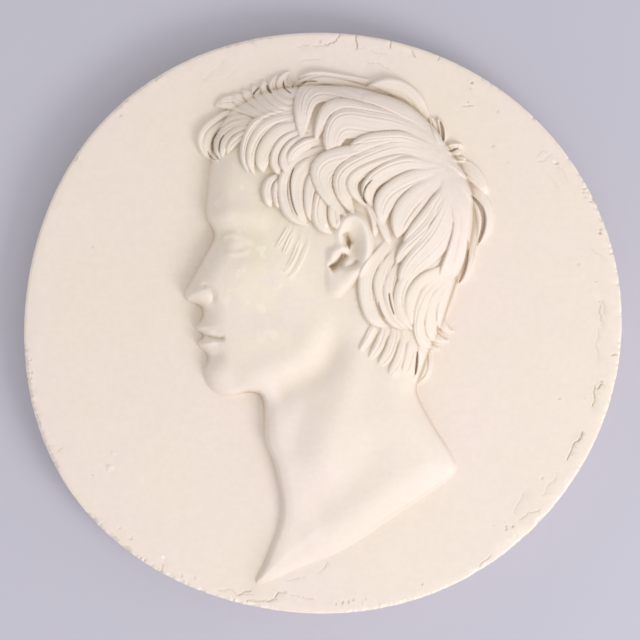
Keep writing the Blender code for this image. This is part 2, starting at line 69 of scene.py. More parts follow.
# Grid lines of the modelled front across and up the disc, and triangles left on the finished piece
LINES_ACROSS = 760
LINES_UP = 740
TRIANGLES = 196_000

# The photograph is taken as 640 pixels wide and high
PICTURE = 640
PIXEL = 0.00076            # metres on the ground of the disc to a pixel
MIDDLE_PIXEL = (320.9, 323.5)

# The outline of the flesh, down the face, round the bust and back over the skull. Each stretch
# says how far in the surface goes on rounding over, and the share of the height that it has
# already gained at the very edge.
Stretch = namedtuple("Stretch", "name rounding foot points")
NEARBY = 0.010               # how softly one stretch gives way to the next

OUTLINE = [
    Stretch("profile", 0.085, 0.14, [
        (-0.360, 0.460), (-0.402, 0.390), (-0.430, 0.280), (-0.440, 0.180), (-0.439, 0.115), (-0.417, 0.058),
        (-0.452, -0.015), (-0.490, -0.082), (-0.508, -0.118), (-0.500, -0.146), (-0.459, -0.166),
        (-0.455, -0.197), (-0.474, -0.232), (-0.453, -0.256), (-0.467, -0.284), (-0.437, -0.322),
        (-0.449, -0.372), (-0.425, -0.426), (-0.370, -0.450)]),
    Stretch("throat", 0.050, 0.28, [
        (-0.300, -0.437), (-0.263, -0.462), (-0.256, -0.585), (-0.228, -0.665), (-0.206, -0.775),
        (-0.212, -0.854), (-0.253, -0.965)]),
    Stretch("point of the bust", 0.040, 0.15, [(-0.278, -1.041)]),
    Stretch("cut of the bust", 0.120, 0.05, [
        (-0.142, -0.986), (0.000, -0.928), (0.158, -0.823), (0.269, -0.750), (0.348, -0.687)]),
    Stretch("nape", 0.090, 0.08, [(0.339, -0.633), (0.285, -0.547), (0.237, -0.459), (0.228, -0.411)]),
    Stretch("skull", 0.120, 0.12, [
        (0.256, -0.330), (0.305, -0.220), (0.345, -0.100), (0.385, 0.000), (0.405, 0.110), (0.398, 0.210),
        (0.352, 0.300), (0.285, 0.400), (0.190, 0.480), (0.050, 0.525), (-0.100, 0.535), (-0.240, 0.520),
        (-0.330, 0.480)])]

# Lines cut along the locks: how many a lock of the usual width has, how deep the deepest goes, in
# parts, and half of its width, in shares of the head's height
Cutting = namedtuple("Cutting", "lines depth half_width swell")
DEEP_LINES = Cutting(1, 1.30, 0.0028, 0.30)
FINE_LINES = Cutting(4, 0.50, 0.0016, 0.0)
USUAL_LOCK = 0.050

# The line cut into the hair underneath, along the proud side of each lock
UNDERCUT = 1.0
UNDERCUT_HALF = 0.0030

# How far the hair's waves carry it to and fro, in shares of the head's height
HAIR_WAVE = 0.0070

# A lock of hair leaves its root at one heading, in degrees, and reaches its tip at another. A
# tier is a row of locks at one level: how far they lift at the root and the tip, in parts, and
# how thick its locks are, in parts, and which side of a lock stands over its neighbour: 1 its
# left and -1 its right, seen along it.
Lock = namedtuple("Lock", "u v leaves tip_u tip_v arrives width")
Tier = namedtuple("Tier", "name root_lift tip_lift thick proud locks")

def unevenness(number):
    """A fixed value between -1 and 1 that jumps about from one number to the next."""
    return 2.0 * math.modf(abs(math.sin(number * 12.9898) * 437.585))[0] - 1.0


TIERS = [
    Tier("back rim", 0.6, 2.2, 2.6, -1, [
        Lock(0.330, 0.310, 350, 0.385, 0.297, 345, 0.022),
        Lock(0.330, 0.295, 340, 0.440, 0.190, 280, 0.052),
        Lock(0.350, 0.240, 325, 0.425, 0.030, 245, 0.060),
        Lock(0.365, 0.160, 305, 0.355, -0.085, 235, 0.056)]),
    Tier("nape tails", 0.2, 0.9, 1.8, -1, [
        Lock(0.085, -0.195, 275, 0.045, -0.300, 215, 0.028),
        Lock(0.115, -0.210, 285, 0.075, -0.332, 215, 0.036),
        Lock(0.145, -0.220, 290, 0.100, -0.357, 203, 0.040),
        Lock(0.175, -0.230, 300, 0.130, -0.388, 210, 0.042),
        Lock(0.205, -0.240, 295, 0.180, -0.378, 225, 0.038),
        Lock(0.230, -0.245, 310, 0.202, -0.397, 195, 0.042)]),
    Tier("sideburn", 0.0, 0.1, 0.8, -1, [
        Lock(-0.170, 0.085, 265, -0.215, 0.015, 220, 0.020),
        Lock(-0.150, 0.080, 265, -0.195, -0.005, 225, 0.022),
        Lock(-0.125, 0.070, 270, -0.212, -0.060, 203, 0.026),
        Lock(-0.105, 0.050, 265, -0.200, -0.080, 208, 0.022)]),
    Tier("behind the ear", 0.6, 1.6, 2.0, -1, [
        Lock(0.045, 0.155, 350, 0.085, 0.045, 270, 0.026),
        Lock(0.060, 0.160, 335, 0.135, 0.020, 310, 0.030)]),
    Tier("nape curls", 0.8, 2.4, 2.6, -1, [
        Lock(0.130, 0.035, 235, 0.125, -0.225, 335, 0.052),
        Lock(0.155, 0.000, 230, 0.175, -0.240, 320, 0.050),
        Lock(0.175, -0.030, 235, 0.190, -0.240, 320, 0.044),
        Lock(0.320, 0.020, 218, 0.215, -0.245, 320, 0.060),
        Lock(0.345, -0.020, 225, 0.225, -0.240, 310, 0.056),
        Lock(0.340, -0.050, 222, 0.275, -0.300, 325, 0.052),
        Lock(0.345, -0.055, 228, 0.300, -0.290, 345, 0.044),
        Lock(0.350, -0.060, 235, 0.330, -0.265, 355, 0.046),
        Lock(0.350, -0.070, 240, 0.345, -0.235, 350, 0.036)]),
    Tier("temple low", 0.8, 2.6, 2.8, -1, [
        Lock(-0.190, 0.245, 190, -0.237, 0.145, 300, 0.036),
        Lock(-0.180, 0.235, 205, -0.210, 0.135, 290, 0.034),
        Lock(-0.170, 0.225, 215, -0.165, 0.103, 310, 0.036),
        Lock(-0.050, 0.315, 178, -0.115, 0.085, 345, 0.040),
        Lock(-0.045, 0.290, 185, -0.120, 0.092, 320, 0.056),
        Lock(-0.040, 0.250, 190, -0.105, 0.100, 290, 0.050),
        Lock(-0.035, 0.225, 215, -0.045, 0.070, 335, 0.048),
        Lock(-0.025, 0.190, 235, -0.030, 0.085, 300, 0.036)]),
    Tier("temple high", 0.8, 3.2, 3.0, -1, [
        Lock(-0.145, 0.450, 176, -0.297, 0.262, 300, 0.040),
        Lock(-0.140, 0.430, 175, -0.280, 0.260, 295, 0.044),
        Lock(-0.135, 0.400, 180, -0.250, 0.262, 280, 0.064),
        Lock(-0.120, 0.380, 175, -0.195, 0.240, 305, 0.034),
        Lock(-0.110, 0.365, 185, -0.170, 0.240, 300, 0.038),
        Lock(-0.080, 0.345, 185, -0.165, 0.275, 270, 0.040)]),
    Tier("fringe low", 0.8, 2.8, 2.6, -1, [
        Lock(-0.250, 0.440, 168, -0.405, 0.287, 322, 0.046),
        Lock(-0.265, 0.425, 182, -0.408, 0.290, 315, 0.044),
        Lock(-0.270, 0.405, 180, -0.400, 0.295, 300, 0.040),
        Lock(-0.280, 0.385, 180, -0.390, 0.300, 280, 0.036),
        Lock(-0.290, 0.370, 180, -0.375, 0.310, 255, 0.028)]),
    Tier("fringe top", 0.8, 1.8, 2.6, 1, [
        Lock(-0.215, 0.445, 200, -0.405, 0.474, 200, 0.050),
        Lock(-0.205, 0.450, 197, -0.355, 0.500, 150, 0.050),
        Lock(-0.190, 0.462, 197, -0.318, 0.517, 135, 0.048),
        Lock(-0.165, 0.472, 197, -0.283, 0.538, 110, 0.048),
        Lock(-0.140, 0.480, 197, -0.250, 0.558, 95, 0.048),
        Lock(-0.120, 0.495, 197, -0.208, 0.574, 60, 0.046),
        Lock(-0.105, 0.510, 195, -0.172, 0.578, 35, 0.040)]),
    Tier("parting", 0.8, 2.0, 2.6, -1, [
        Lock(0.090, 0.548, 175, -0.140, 0.556, 190, 0.030),
        Lock(0.070, 0.538, 178, -0.150, 0.536, 195, 0.036),
        Lock(0.050, 0.525, 178, -0.155, 0.500, 215, 0.036),
        Lock(0.040, 0.515, 178, -0.163, 0.462, 242, 0.036)]),
    Tier("crown", 0.6, 3.6, 3.0, -1, [
        Lock(0.285, 0.380, 118, 0.045, 0.515, 205, 0.061),
        Lock(0.270, 0.385, 140, 0.030, 0.495, 180, 0.055),
        Lock(0.260, 0.380, 149, -0.138, 0.362, 277, 0.095),
        Lock(0.250, 0.362, 156, -0.095, 0.350, 260, 0.068),
        Lock(0.250, 0.355, 162, -0.030, 0.282, 290, 0.091),
        Lock(0.260, 0.325, 182, 0.000, 0.300, 230, 0.085),
        Lock(0.275, 0.312, 180, -0.008, 0.125, 316, 0.085),
        Lock(0.275, 0.300, 175, 0.018, 0.130, 300, 0.085),
        Lock(0.270, 0.290, 190, 0.062, 0.145, 312, 0.044),
        Lock(0.285, 0.275, 185, 0.085, 0.140, 290, 0.061),
        Lock(0.300, 0.265, 205, 0.110, 0.080, 275, 0.068),
        Lock(0.310, 0.250, 225, 0.152, 0.045, 262, 0.073),
        Lock(0.318, 0.250, 290, 0.182, 0.000, 262, 0.068),
        Lock(0.326, 0.250, 295, 0.160, -0.035, 240, 0.081),
        Lock(0.338, 0.250, 292, 0.180, -0.110, 255, 0.093),
        Lock(0.345, 0.250, 285, 0.300, -0.070, 225, 0.073),
        Lock(0.355, 0.240, 290, 0.345, -0.060, 235, 0.061)]),
    Tier("whorl", 0.8, 1.5, 1.6, 1, [
        Lock(0.290, 0.345, 100, 0.272, 0.438, 125, 0.022),
        Lock(0.300, 0.345, 75, 0.300, 0.435, 110, 0.020),
        Lock(0.305, 0.340, 25, 0.365, 0.352, 0, 0.018),
        Lock(0.310, 0.330, 5, 0.365, 0.325, -10, 0.020)])]

# A deep gap cut between locks, dark with painted shade, along the same kind of line; its depth is in parts
Gap = namedtuple("Gap", "u v leaves tip_u tip_v arrives width depth")

GAPS = [
    Gap(-0.405, 0.385, 220, -0.400, 0.293, 320, 0.009, 2.5),
    Gap(-0.385, 0.370, 215, -0.402, 0.315, 270, 0.007, 2.0),
    Gap(-0.440, 0.330, 275, -0.410, 0.290, 330, 0.007, 2.0),
    Gap(-0.265, 0.532, 240, -0.283, 0.502, 255, 0.009, 3.0),
    Gap(-0.240, 0.545, 275, -0.225, 0.512, 310, 0.009, 3.0),
    Gap(-0.187, 0.552, 255, -0.165, 0.508, 320, 0.008, 2.5),
    Gap(-0.150, 0.560, 250, -0.160, 0.530, 245, 0.012, 3.5),
    Gap(-0.130, 0.538, 5, -0.080, 0.538, 350, 0.007, 2.0),
    Gap(-0.152, 0.262, 235, -0.150, 0.110, 310, 0.008, 2.5),
    Gap(0.088, 0.225, 225, 0.066, 0.152, 300, 0.008, 2.5),
    Gap(0.002, 0.062, 300, 0.016, 0.022, 285, 0.012, 2.0),
    Gap(-0.004, 0.002, 250, -0.052, -0.047, 200, 0.014, 2.5),
    Gap(0.304, 0.425, 285, 0.302, 0.362, 260, 0.012, 5.0),
    Gap(0.318, 0.333, 5, 0.352, 0.345, 25, 0.009, 3.0),
    Gap(0.395, 0.180, 320, 0.425, 0.025, 250, 0.020, 3.6),
    Gap(0.388, 0.040, 285, 0.358, -0.080, 235, 0.015, 2.6),
    Gap(0.138, -0.115, 260, 0.145, -0.190, 290, 0.007, 2.5),
    Gap(0.097, -0.140, 270, 0.115, -0.195, 310, 0.007, 2.0),
    Gap(0.232, -0.305, 275, 0.222, -0.372, 255, 0.009, 3.0)]


def rise(low, high, x):
    """0 below low, 1 above high, smooth between."""
    t = np.clip((x - low) / (high - low), 0.0, 1.0)
    return t * t * (3.0 - 2.0 * t)


def spline_span(before, start, end, after, samples):
    t = np.linspace(0.0, 1.0, samples, endpoint=False)[:, None]
    line = 2.0 * start + (end - before) * t
    bend = (2.0 * before - 5.0 * start + 4.0 * end - after) * t ** 2
    swing = (3.0 * start - before - 3.0 * end + after) * t ** 3
    return 0.5 * (line + bend + swing)


def smooth_path(points, samples=6):
    """An open curve through the points."""
    points = np.array(points, dtype=float)
    rows = np.vstack([2.0 * points[0] - points[1], points, 2.0 * points[-1] - points[-2]])
    spans = [spline_span(*rows[i:i + 4], samples) for i in range(len(points) - 1)]
    return np.vstack(spans + [points[-1:]])


def smooth_loop(points, samples=5):
    """A closed curve through the points, with its first point repeated at the end."""
    points = np.array(points, dtype=float)
    count = len(points)
    spans = [
        spline_span(points[i - 1], points[i], points[(i + 1) % count], points[(i + 2) % count], samples)
        for i in range(count)]
    return np.vstack(spans + [points[:1]])


def near_path(u, v, path):
    """Distance to a path, where the nearest point is, as a row number, and how far left of it."""
    gap = np.full(u.shape, 9.0)
    place = np.zeros(u.shape)
    left = np.zeros(u.shape)
    for row, (start, end) in enumerate(zip(path[:-1, :2], path[1:, :2])):
        du, dv = end - start
        length = math.hypot(du, dv)
        from_u, from_v = u - start[0], v - start[1]
        t = np.clip((from_u * du + from_v * dv) / length ** 2, 0.0, 1.0)
        here = np.hypot(from_u - t * du, from_v - t * dv)
        closer = here < gap
        gap = np.where(closer, here, gap)
        place = np.where(closer, row + t, place)
        left = np.where(closer, (du * from_v - dv * from_u) / length, left)
    return gap, place, left


def inside_loop(u, v, loop):
    inside = np.zeros(u.shape, dtype=bool)
    for (start_u, start_v), (end_u, end_v) in zip(loop[:-1, :2], loop[1:, :2]):
        if start_v == end_v:
            continue
        spans = (start_v > v) != (end_v > v)
        inside ^= spans & (u < (end_u - start_u) * (v - start_v) / (end_v - start_v) + start_u)
    return inside


def turned(u, v, centre, lean):
    """Distances from a centre along and across a direction that leans by so many degrees."""
    angle = math.radians(lean)
    from_u, from_v = u - centre[0], v - centre[1]
    along = from_u * math.cos(angle) + from_v * math.sin(angle)
    across = from_v * math.cos(angle) - from_u * math.sin(angle)
    return along, across


def dome(u, v, centre, radii, top, lean=0.0):
    """Half an ellipsoid that stands on the ground."""
    along, across = turned(u, v, centre, lean)
    return top * np.sqrt(np.clip(1.0 - (along / radii[0]) ** 2 - (across / radii[1]) ** 2, 0.0, None))


def mound(u, v, centre, radii, lean=0.0):
    """A soft swelling of height 1."""
    along, across = turned(u, v, centre, lean)
    return np.exp(-(along / radii[0]) ** 2 - (across / radii[1]) ** 2)


def ridge(u, v, points, half_width, fade):
    """A soft ridge of height 1 along a curve; its ends fade out over a share of its length."""
    path = smooth_path(points)
    gap, place, _ = near_path(u, v, path)
    share = place / (len(path) - 1)
    ends = rise(0.0, fade, share) * rise(0.0, fade, 1.0 - share)
    return np.exp(-(gap / half_width) ** 2) * ends


def blend_max(a, b, blend):
    """The higher of two surfaces, with a rounded inner corner."""
    share = np.clip(0.5 + 0.5 * (a - b) / blend, 0.0, 1.0)
    return a * share + b * (1.0 - share) + blend * share * (1.0 - share)


def outline_edge(u, v):
    """How far inside the flesh each point lies, and how the surface rounds over there."""
    rows = [(pu, pv, reach, foot) for _, reach, foot, points in OUTLINE for pu, pv in points]
    loop = smooth_loop(rows)
    gap, _, _ = near_path(u, v, loop)
    total, rounding, foot = np.zeros(u.shape), np.zeros(u.shape), np.zeros(u.shape)
    for corner_u, corner_v, here_reach, here_foot in loop:
        weight = 1.0 / ((u - corner_u) ** 2 + (v - corner_v) ** 2 + NEARBY ** 2) ** 3
        total += weight
        rounding += weight * here_reach
        foot += weight * here_foot
    return np.where(inside_loop(u, v, loop), gap, -gap), rounding / total, foot / total


def head_mass(u, v):
    """The large masses of the head, as shares of the relief's depth."""
    mass = dome(u, v, (0.03, 0.12), (0.52, 0.52), 0.80)
    mass = blend_max(mass, dome(u, v, (-0.15, -0.05), (0.42, 0.50), 0.70, -8), 0.06)
    mass = blend_max(mass, dome(u, v, (-0.22, -0.22), (0.27, 0.27), 0.62), 0.05)
    mass = blend_max(mass, dome(u, v, (-0.44, -0.09), (0.115, 0.16), 0.40, -25), 0.06)
    mass = blend_max(mass, dome(u, v, (-0.40, -0.25), (0.10, 0.10), 0.44), 0.05)
    return blend_max(mass, dome(u, v, (-0.36, 0.20), (0.12, 0.30), 0.42), 0.06)


def neck_mass(u, v):
    """A leaning column that flattens towards the cut of the bust."""
    top = np.array([0.045, -0.250])
    run = np.array([0.020, -0.950]) - top
    length = math.hypot(*run)
    across = ((u - top[0]) * run[1] - (v - top[1]) * run[0]) / length
    along = ((u - top[0]) * run[0] + (v - top[1]) * run[1]) / length ** 2
    half = 0.325 + 0.10 * np.clip(along, 0.0, 1.0)
    column = np.sqrt(np.clip(1.0 - (across / half) ** 2, 0.0, None))
    return column * (0.56 - 0.40 * rise(0.35, 1.05, along)) * rise(-0.55, 0.10, along)


def neck_modelling(u, v):
    """The long muscle of the neck, the hollows beside it and the swell along the cut."""
    shape = 0.055 * ridge(u, v, [(0.06, -0.16), (0.02, -0.36), (-0.04, -0.55), (-0.10, -0.72)], 0.055, 0.15)
    shape -= 0.040 * ridge(u, v, [(-0.10, -0.40), (-0.14, -0.52), (-0.18, -0.68)], 0.040, 0.30)
    shape += 0.030 * ridge(u, v, [(0.30, -0.655), (0.16, -0.74), (0.00, -0.84), (-0.14, -0.92)], 0.050, 0.10)
    shape -= 0.050 * ridge(u, v, [(0.14, -0.52), (0.08, -0.65), (-0.03, -0.78), (-0.14, -0.84)], 0.060, 0.25)
    return shape


def eye_modelling(u, v):
    brow = [(-0.425, 0.105), (-0.360, 0.125), (-0.280, 0.115), (-0.220, 0.075)]
    upper_lid = [(-0.392, 0.040), (-0.370, 0.059), (-0.330, 0.056), (-0.280, 0.020)]
    lower_lid = [(-0.384, 0.008), (-0.355, 0.000), (-0.320, 0.004), (-0.288, 0.018)]
    shape = -3.2 * mound(u, v, (-0.345, 0.045), (0.075, 0.055))
    shape += 1.6 * ridge(u, v, brow, 0.028, 0.3)
    shape += 2.6 * mound(u, v, (-0.352, 0.034), (0.036, 0.030))
    shape += 1.1 * ridge(u, v, upper_lid, 0.010, 0.2)
    shape += 0.8 * ridge(u, v, lower_lid, 0.009, 0.3)
    shape -= 0.8 * mound(u, v, (-0.230, 0.130), (0.060, 0.080))
    return shape


def nose_modelling(u, v):
    wing = [(-0.462, -0.098), (-0.430, -0.102), (-0.412, -0.130), (-0.418, -0.162)]
    opening = [(-0.500, -0.158), (-0.480, -0.150), (-0.460, -0.158)]
    shape = 3.0 * mound(u, v, (-0.452, -0.134), (0.034, 0.028))
    shape -= 1.8 * ridge(u, v, wing, 0.010, 0.25)
    shape -= 2.5 * ridge(u, v, opening, 0.009, 0.3)
    return shape


def mouth_modelling(u, v):
    parting = [(-0.475, -0.256), (-0.440, -0.254), (-0.400, -0.262), (-0.372, -0.262)]
    upper_lip = [(-0.480, -0.236), (-0.445, -0.238), (-0.400, -0.252)]
    lower_lip = [(-0.470, -0.280), (-0.440, -0.280), (-0.395, -0.272)]
    shape = -2.4 * ridge(u, v, parting, 0.009, 0.15)
    shape += 1.5 * ridge(u, v, upper_lip, 0.013, 0.25)
    shape += 1.7 * ridge(u, v, lower_lip, 0.015, 0.3)
    shape -= 1.3 * ridge(u, v, [(-0.440, -0.318), (-0.405, -0.318), (-0.375, -0.305)], 0.018, 0.4)
    return shape


def cheek_and_jaw_modelling(u, v):
    jaw = [(-0.360, -0.405), (-0.250, -0.365), (-0.140, -0.310), (-0.045, -0.160)]
    under_jaw = [(-0.270, -0.455), (-0.160, -0.410), (-0.060, -0.345), (0.005, -0.180)]
    shape = 1.8 * mound(u, v, (-0.405, -0.375), (0.050, 0.045))
    shape += 1.6 * mound(u, v, (-0.240, -0.050), (0.085, 0.050), -20)
    shape -= 1.4 * mound(u, v, (-0.270, -0.190), (0.070, 0.090), -15)
    shape += 2.0 * ridge(u, v, jaw, 0.045, 0.2)
    shape -= 3.0 * ridge(u, v, under_jaw, 0.045, 0.25)
    return shape


EAR_PLATE = [
    (-0.030, 0.025), (-0.031, 0.070), (-0.014, 0.110), (0.022, 0.128), (0.060, 0.106), (0.083, 0.050),
    (0.080, -0.008), (0.061, -0.050), (0.032, -0.084), (0.004, -0.112), (-0.026, -0.133), (-0.053, -0.121),
    (-0.061, -0.080), (-0.059, -0.030), (-0.055, 0.012)]
EAR_RIM = [
    (-0.014, 0.028), (-0.018, 0.065), (-0.004, 0.100), (0.026, 0.111), (0.054, 0.090), (0.066, 0.045),
    (0.063, 0.000), (0.047, -0.040), (0.014, -0.063), (-0.016, -0.066)]


def add_ear(u, v, skin):
    """The ear laid over the skin: its plate, its rolled rim, its hollows and its lobe."""
    upper_wedge = [(-0.004, 0.070), (0.004, 0.048), (0.016, 0.022)]
    fold = [(-0.020, 0.024), (0.000, 0.016), (0.018, 0.014)]
    lower_notch = [(-0.002, 0.004), (-0.010, -0.016), (-0.028, -0.036), (-0.052, -0.048)]
    over_the_lobe = [(-0.024, -0.034), (0.000, -0.040), (0.026, -0.034), (0.042, -0.014)]
    loop = smooth_loop(EAR_PLATE)
    gap, _, _ = near_path(u, v, loop)
    edge = np.where(inside_loop(u, v, loop), gap, -gap)
    shape = 3.6 * rise(-0.008, 0.016, edge) * (1.0 - 0.45 * rise(0.03, -0.06, u))
    shape += 2.2 * ridge(u, v, EAR_RIM, 0.019, 0.15)
    shape -= 6.0 * mound(u, v, (0.022, 0.024), (0.032, 0.060), 8)
    shape -= 3.5 * ridge(u, v, upper_wedge, 0.012, 0.25)
    shape += 1.5 * ridge(u, v, fold, 0.009, 0.3)
    shape -= 6.0 * ridge(u, v, lower_notch, 0.012, 0.15)
    shape -= 2.0 * ridge(u, v, over_the_lobe, 0.010, 0.2)
    shape += 2.0 * mound(u, v, (-0.038, -0.006), (0.015, 0.022), -20)
    shape += 1.4 * mound(u, v, (-0.022, -0.098), (0.026, 0.030), -20)
    return skin + shape * PART


def skin_height(u, v):
    """Height of the flesh above the ground of the disc."""
    edge, rounding, foot = outline_edge(u, v)
    mass = blend_max(head_mass(u, v), neck_mass(u, v), 0.05) + neck_modelling(u, v)
    over = 1.0 - np.clip(edge / rounding, 0.0, 1.0)
    rounded = foot * rise(0.0, 0.02, edge) + (1.0 - foot) * np.sqrt(1.0 - over ** 2)
    face = eye_modelling(u, v) + nose_modelling(u, v) + mouth_modelling(u, v) + cheek_and_jaw_modelling(u, v)
    skin = mass * rounded * RELIEF_DEPTH + face * rise(0.0, 0.03, edge) * PART
    return np.maximum(add_ear(u, v, np.where(edge > 0.0, skin, 0.0)), 0.0)


def lock_path(lock, samples=24):
    """The centre line of a lock: a curve that leaves its root and meets its tip at their headings."""
    root, tip = np.array([lock.u, lock.v]), np.array([lock.tip_u, lock.tip_v])
    run = math.dist(root, tip)
    bearing = math.degrees(math.atan2(*(tip - root)[::-1]))
    handles = []
    for heading in (lock.leaves, lock.arrives):
        off = math.radians((heading - bearing + 180.0) % 360.0 - 180.0)
        angle = math.radians(heading)
        handles.append(np.array([math.cos(angle), math.sin(angle)]) * run / (3.0 * math.cos(0.5 * off) ** 2))
    t = np.linspace(0.0, 1.0, samples + 1)[:, None]
    left = 1.0 - t
    leaving = 3.0 * left ** 2 * t * (root + handles[0])
    arriving = 3.0 * left * t ** 2 * (tip - handles[1])
    return left ** 3 * root + leaving + arriving + t ** 3 * tip


def cut_lines(ramp, share, lock, cutting, number):
    """Lines cut along a lock, unevenly spaced and each of its own depth and length, in parts."""
    count = max(1, int(round(cutting.lines * lock.width / USUAL_LOCK)))
    shape = np.zeros(ramp.shape)
    for line in range(count):
        chance = unevenness(9.0 * number + line)
        other = unevenness(5.0 * number + 3.0 * line)
        place = (line + 0.5 + 0.42 * chance) / count * 0.92 + 0.03 * np.sin(5.0 * share + 7.0 * other)
        start = 0.16 + 0.26 * other
        end = 1.00 + 0.14 * chance
        live = rise(start - 0.12, start + 0.12, share) * rise(end, end - 0.14, share)
        depth = cutting.depth * (0.62 + 0.38 * other)
        gap = np.abs(ramp - place) * lock.width
        shape -= depth * live * np.clip(1.0 - gap / cutting.half_width, 0.0, 1.0) ** 1.3
        shape += cutting.swell * live * np.clip(1.0 - np.abs(gap / 0.006 - 1.0), 0.0, 1.0)
    return shape


def near_lock(u, v, lock, margin):
    """Which points lie round a lock; for those, its distance, its share along and its left side."""
    path = lock_path(lock)
    low, high = path.min(axis=0) - margin, path.max(axis=0) + margin
    near = (u > low[0]) & (u < high[0]) & (v > low[1]) & (v < high[1])
    gap, place, left = near_path(u[near], v[near], path)
    return near, gap, place / (len(path) - 1), left


def add_lock(u, v, base, hair, lock, tier, number):
    """Raises the hair to one lock: a ramp from its tucked side up to its proud side."""
    half = lock.width / 2.0
    near, gap, share, left = near_lock(u, v, lock, lock.width)
    taper = (0.45 + 0.55 * rise(0.0, 0.38, share)) * (1.0 - share ** 4) ** 0.7 + 0.03
    across = np.where(left * tier.proud > 0.0, gap, -gap) / (half * taper)
    ramp = np.clip(0.5 + 0.5 * across, 0.0, 1.0)
    shoulder = np.sqrt(1.0 - (np.clip(ramp - 0.72, 0.0, 1.0) / 0.31) ** 2)
    body = (1.0 - (1.0 - ramp) ** 1.5) * shoulder
    lift = tier.root_lift + (tier.tip_lift - tier.root_lift) * rise(0.05, 0.85, share)
    lift = lift * rise(0.0, 0.12, share) - 1.6 * rise(0.86, 1.0, share)
    beyond = np.clip(np.abs(across) - 1.0, 0.0, None) * half * taper
    parts = lift + tier.thick * (0.3 + 0.7 * rise(0.0, 0.4, share)) * taper * body - beyond * 620.0
    cuts = cut_lines(ramp, share, lock, DEEP_LINES, number)
    cuts = cuts + cut_lines(ramp, share, lock, FINE_LINES, number + 0.5)
    parts = parts + cuts * np.minimum(1.0, taper * 1.6)
    outside = np.abs((across - 1.0) * half * taper - UNDERCUT_HALF) / UNDERCUT_HALF
    under = UNDERCUT * np.clip(1.0 - outside, 0.0, 1.0) * rise(0.15, 0.35, share) * rise(1.0, 0.9, share)
    hair[near] = np.maximum(hair[near] - under * PART, np.minimum(hair[near], base[near]))
    hair[near] = np.maximum(hair[near], np.where(beyond < 0.012, base[near] + parts * PART, 0.0))


def wavy(u, v):
    """The same places, carried a little to and fro, which makes the locks laid over them wavy."""
    sideways = HAIR_WAVE * np.sin(25.0 * v + 1.5 * np.sin(9.0 * u) + 2.0)
    upwards = HAIR_WAVE * np.sin(23.0 * u + 1.5 * np.sin(11.0 * v) + 1.0)
    return u + sideways, v + upwards


def hair_height(u, v, skin):
    """The hair, tier over tier."""
    u, v = wavy(u, v)
    base = np.maximum(skin, 2.0 * PART)
    hair = np.zeros(u.shape)
    number = 0
    for tier in TIERS:
        for lock in tier.locks:
            number += 1
            add_lock(u, v, base, hair, lock, tier, number)
    return hair


def gap_depths(u, v):
    """How deep the gaps between locks are cut, in parts."""
    u, v = wavy(u, v)
    depths = np.zeros(u.shape)
    for deep_gap in GAPS:
        near, gap, share, _ = near_lock(u, v, deep_gap, deep_gap.width)
        half = 0.5 * deep_gap.width * np.sqrt(np.clip(4.0 * share * (1.0 - share), 0.02, 1.0))
        depths[near] = np.maximum(depths[near], deep_gap.depth * (1.0 - rise(0.35, 1.0, gap / half)))
    return depths


def relief_height(x, z):
    """Height of the relief above the ground, at places on the disc in metres."""
    u = (x - EAR_ASIDE) / HEAD_HEIGHT
    v = (z - EAR_ABOVE) / HEAD_HEIGHT
    skin = skin_height(u, v)
    height = np.maximum(skin, hair_height(u, v, skin))
    return np.maximum(height - gap_depths(u, v) * PART, np.minimum(height, 0.6 * PART))


def disc_radius(angle):
    """Radius of the flat ground at each angle, with the waves of the hand-cast rim."""
    reach = max(
        math.hypot(EAR_ASIDE + HEAD_HEIGHT * u, EAR_ABOVE + HEAD_HEIGHT * v)
        for stretch in OUTLINE for u, v in stretch.points)
    waves = sum(
        wave.across * np.cos(wave.number * angle) + wave.up * np.sin(wave.number * angle)
        for wave in OUT_OF_ROUND)
    return (reach + RIM_BORDER) * (1.0 + waves) - RIM_ROUNDING


def cloudiness(x, z, size, seed):
    """Smooth uneven values from -1 to 1 whose clouds are about a size across."""
    values = np.random.default_rng(seed).uniform(-1.0, 1.0, (64, 64))
    across, up = x / size + 17.3, z / size + 29.7
    column, row = np.floor(across).astype(int), np.floor(up).astype(int)
    s, t = rise(0.0, 1.0, across - column), rise(0.0, 1.0, up - row)
    lower = values[row % 64, column % 64] * (1.0 - s) + values[row % 64, (column + 1) % 64] * s
    upper = values[(row + 1) % 64, column % 64] * (1.0 - s) + values[(row + 1) % 64, (column + 1) % 64] * s
    return lower * (1.0 - t) + upper * t


def ground_unevenness(x, z):
    """The ground of the disc was smoothed by hand: shallow waves, in metres."""
    return 0.00022 * cloudiness(x, z, 0.055, 3) + 0.00010 * cloudiness(x, z, 0.017, 4)


# Wear of the ground near the rim. Each mark starts at an angle round the disc, so many metres in
# from the rim, and runs at a lean: 0 is along the rim, counter-clockwise, and 90 straight inwards.
Crack = namedtuple("Crack", "angle inset run lean width depth")
Pit = namedtuple("Pit", "angle inset size depth")
Chip = namedtuple("Chip", "angle size depth")

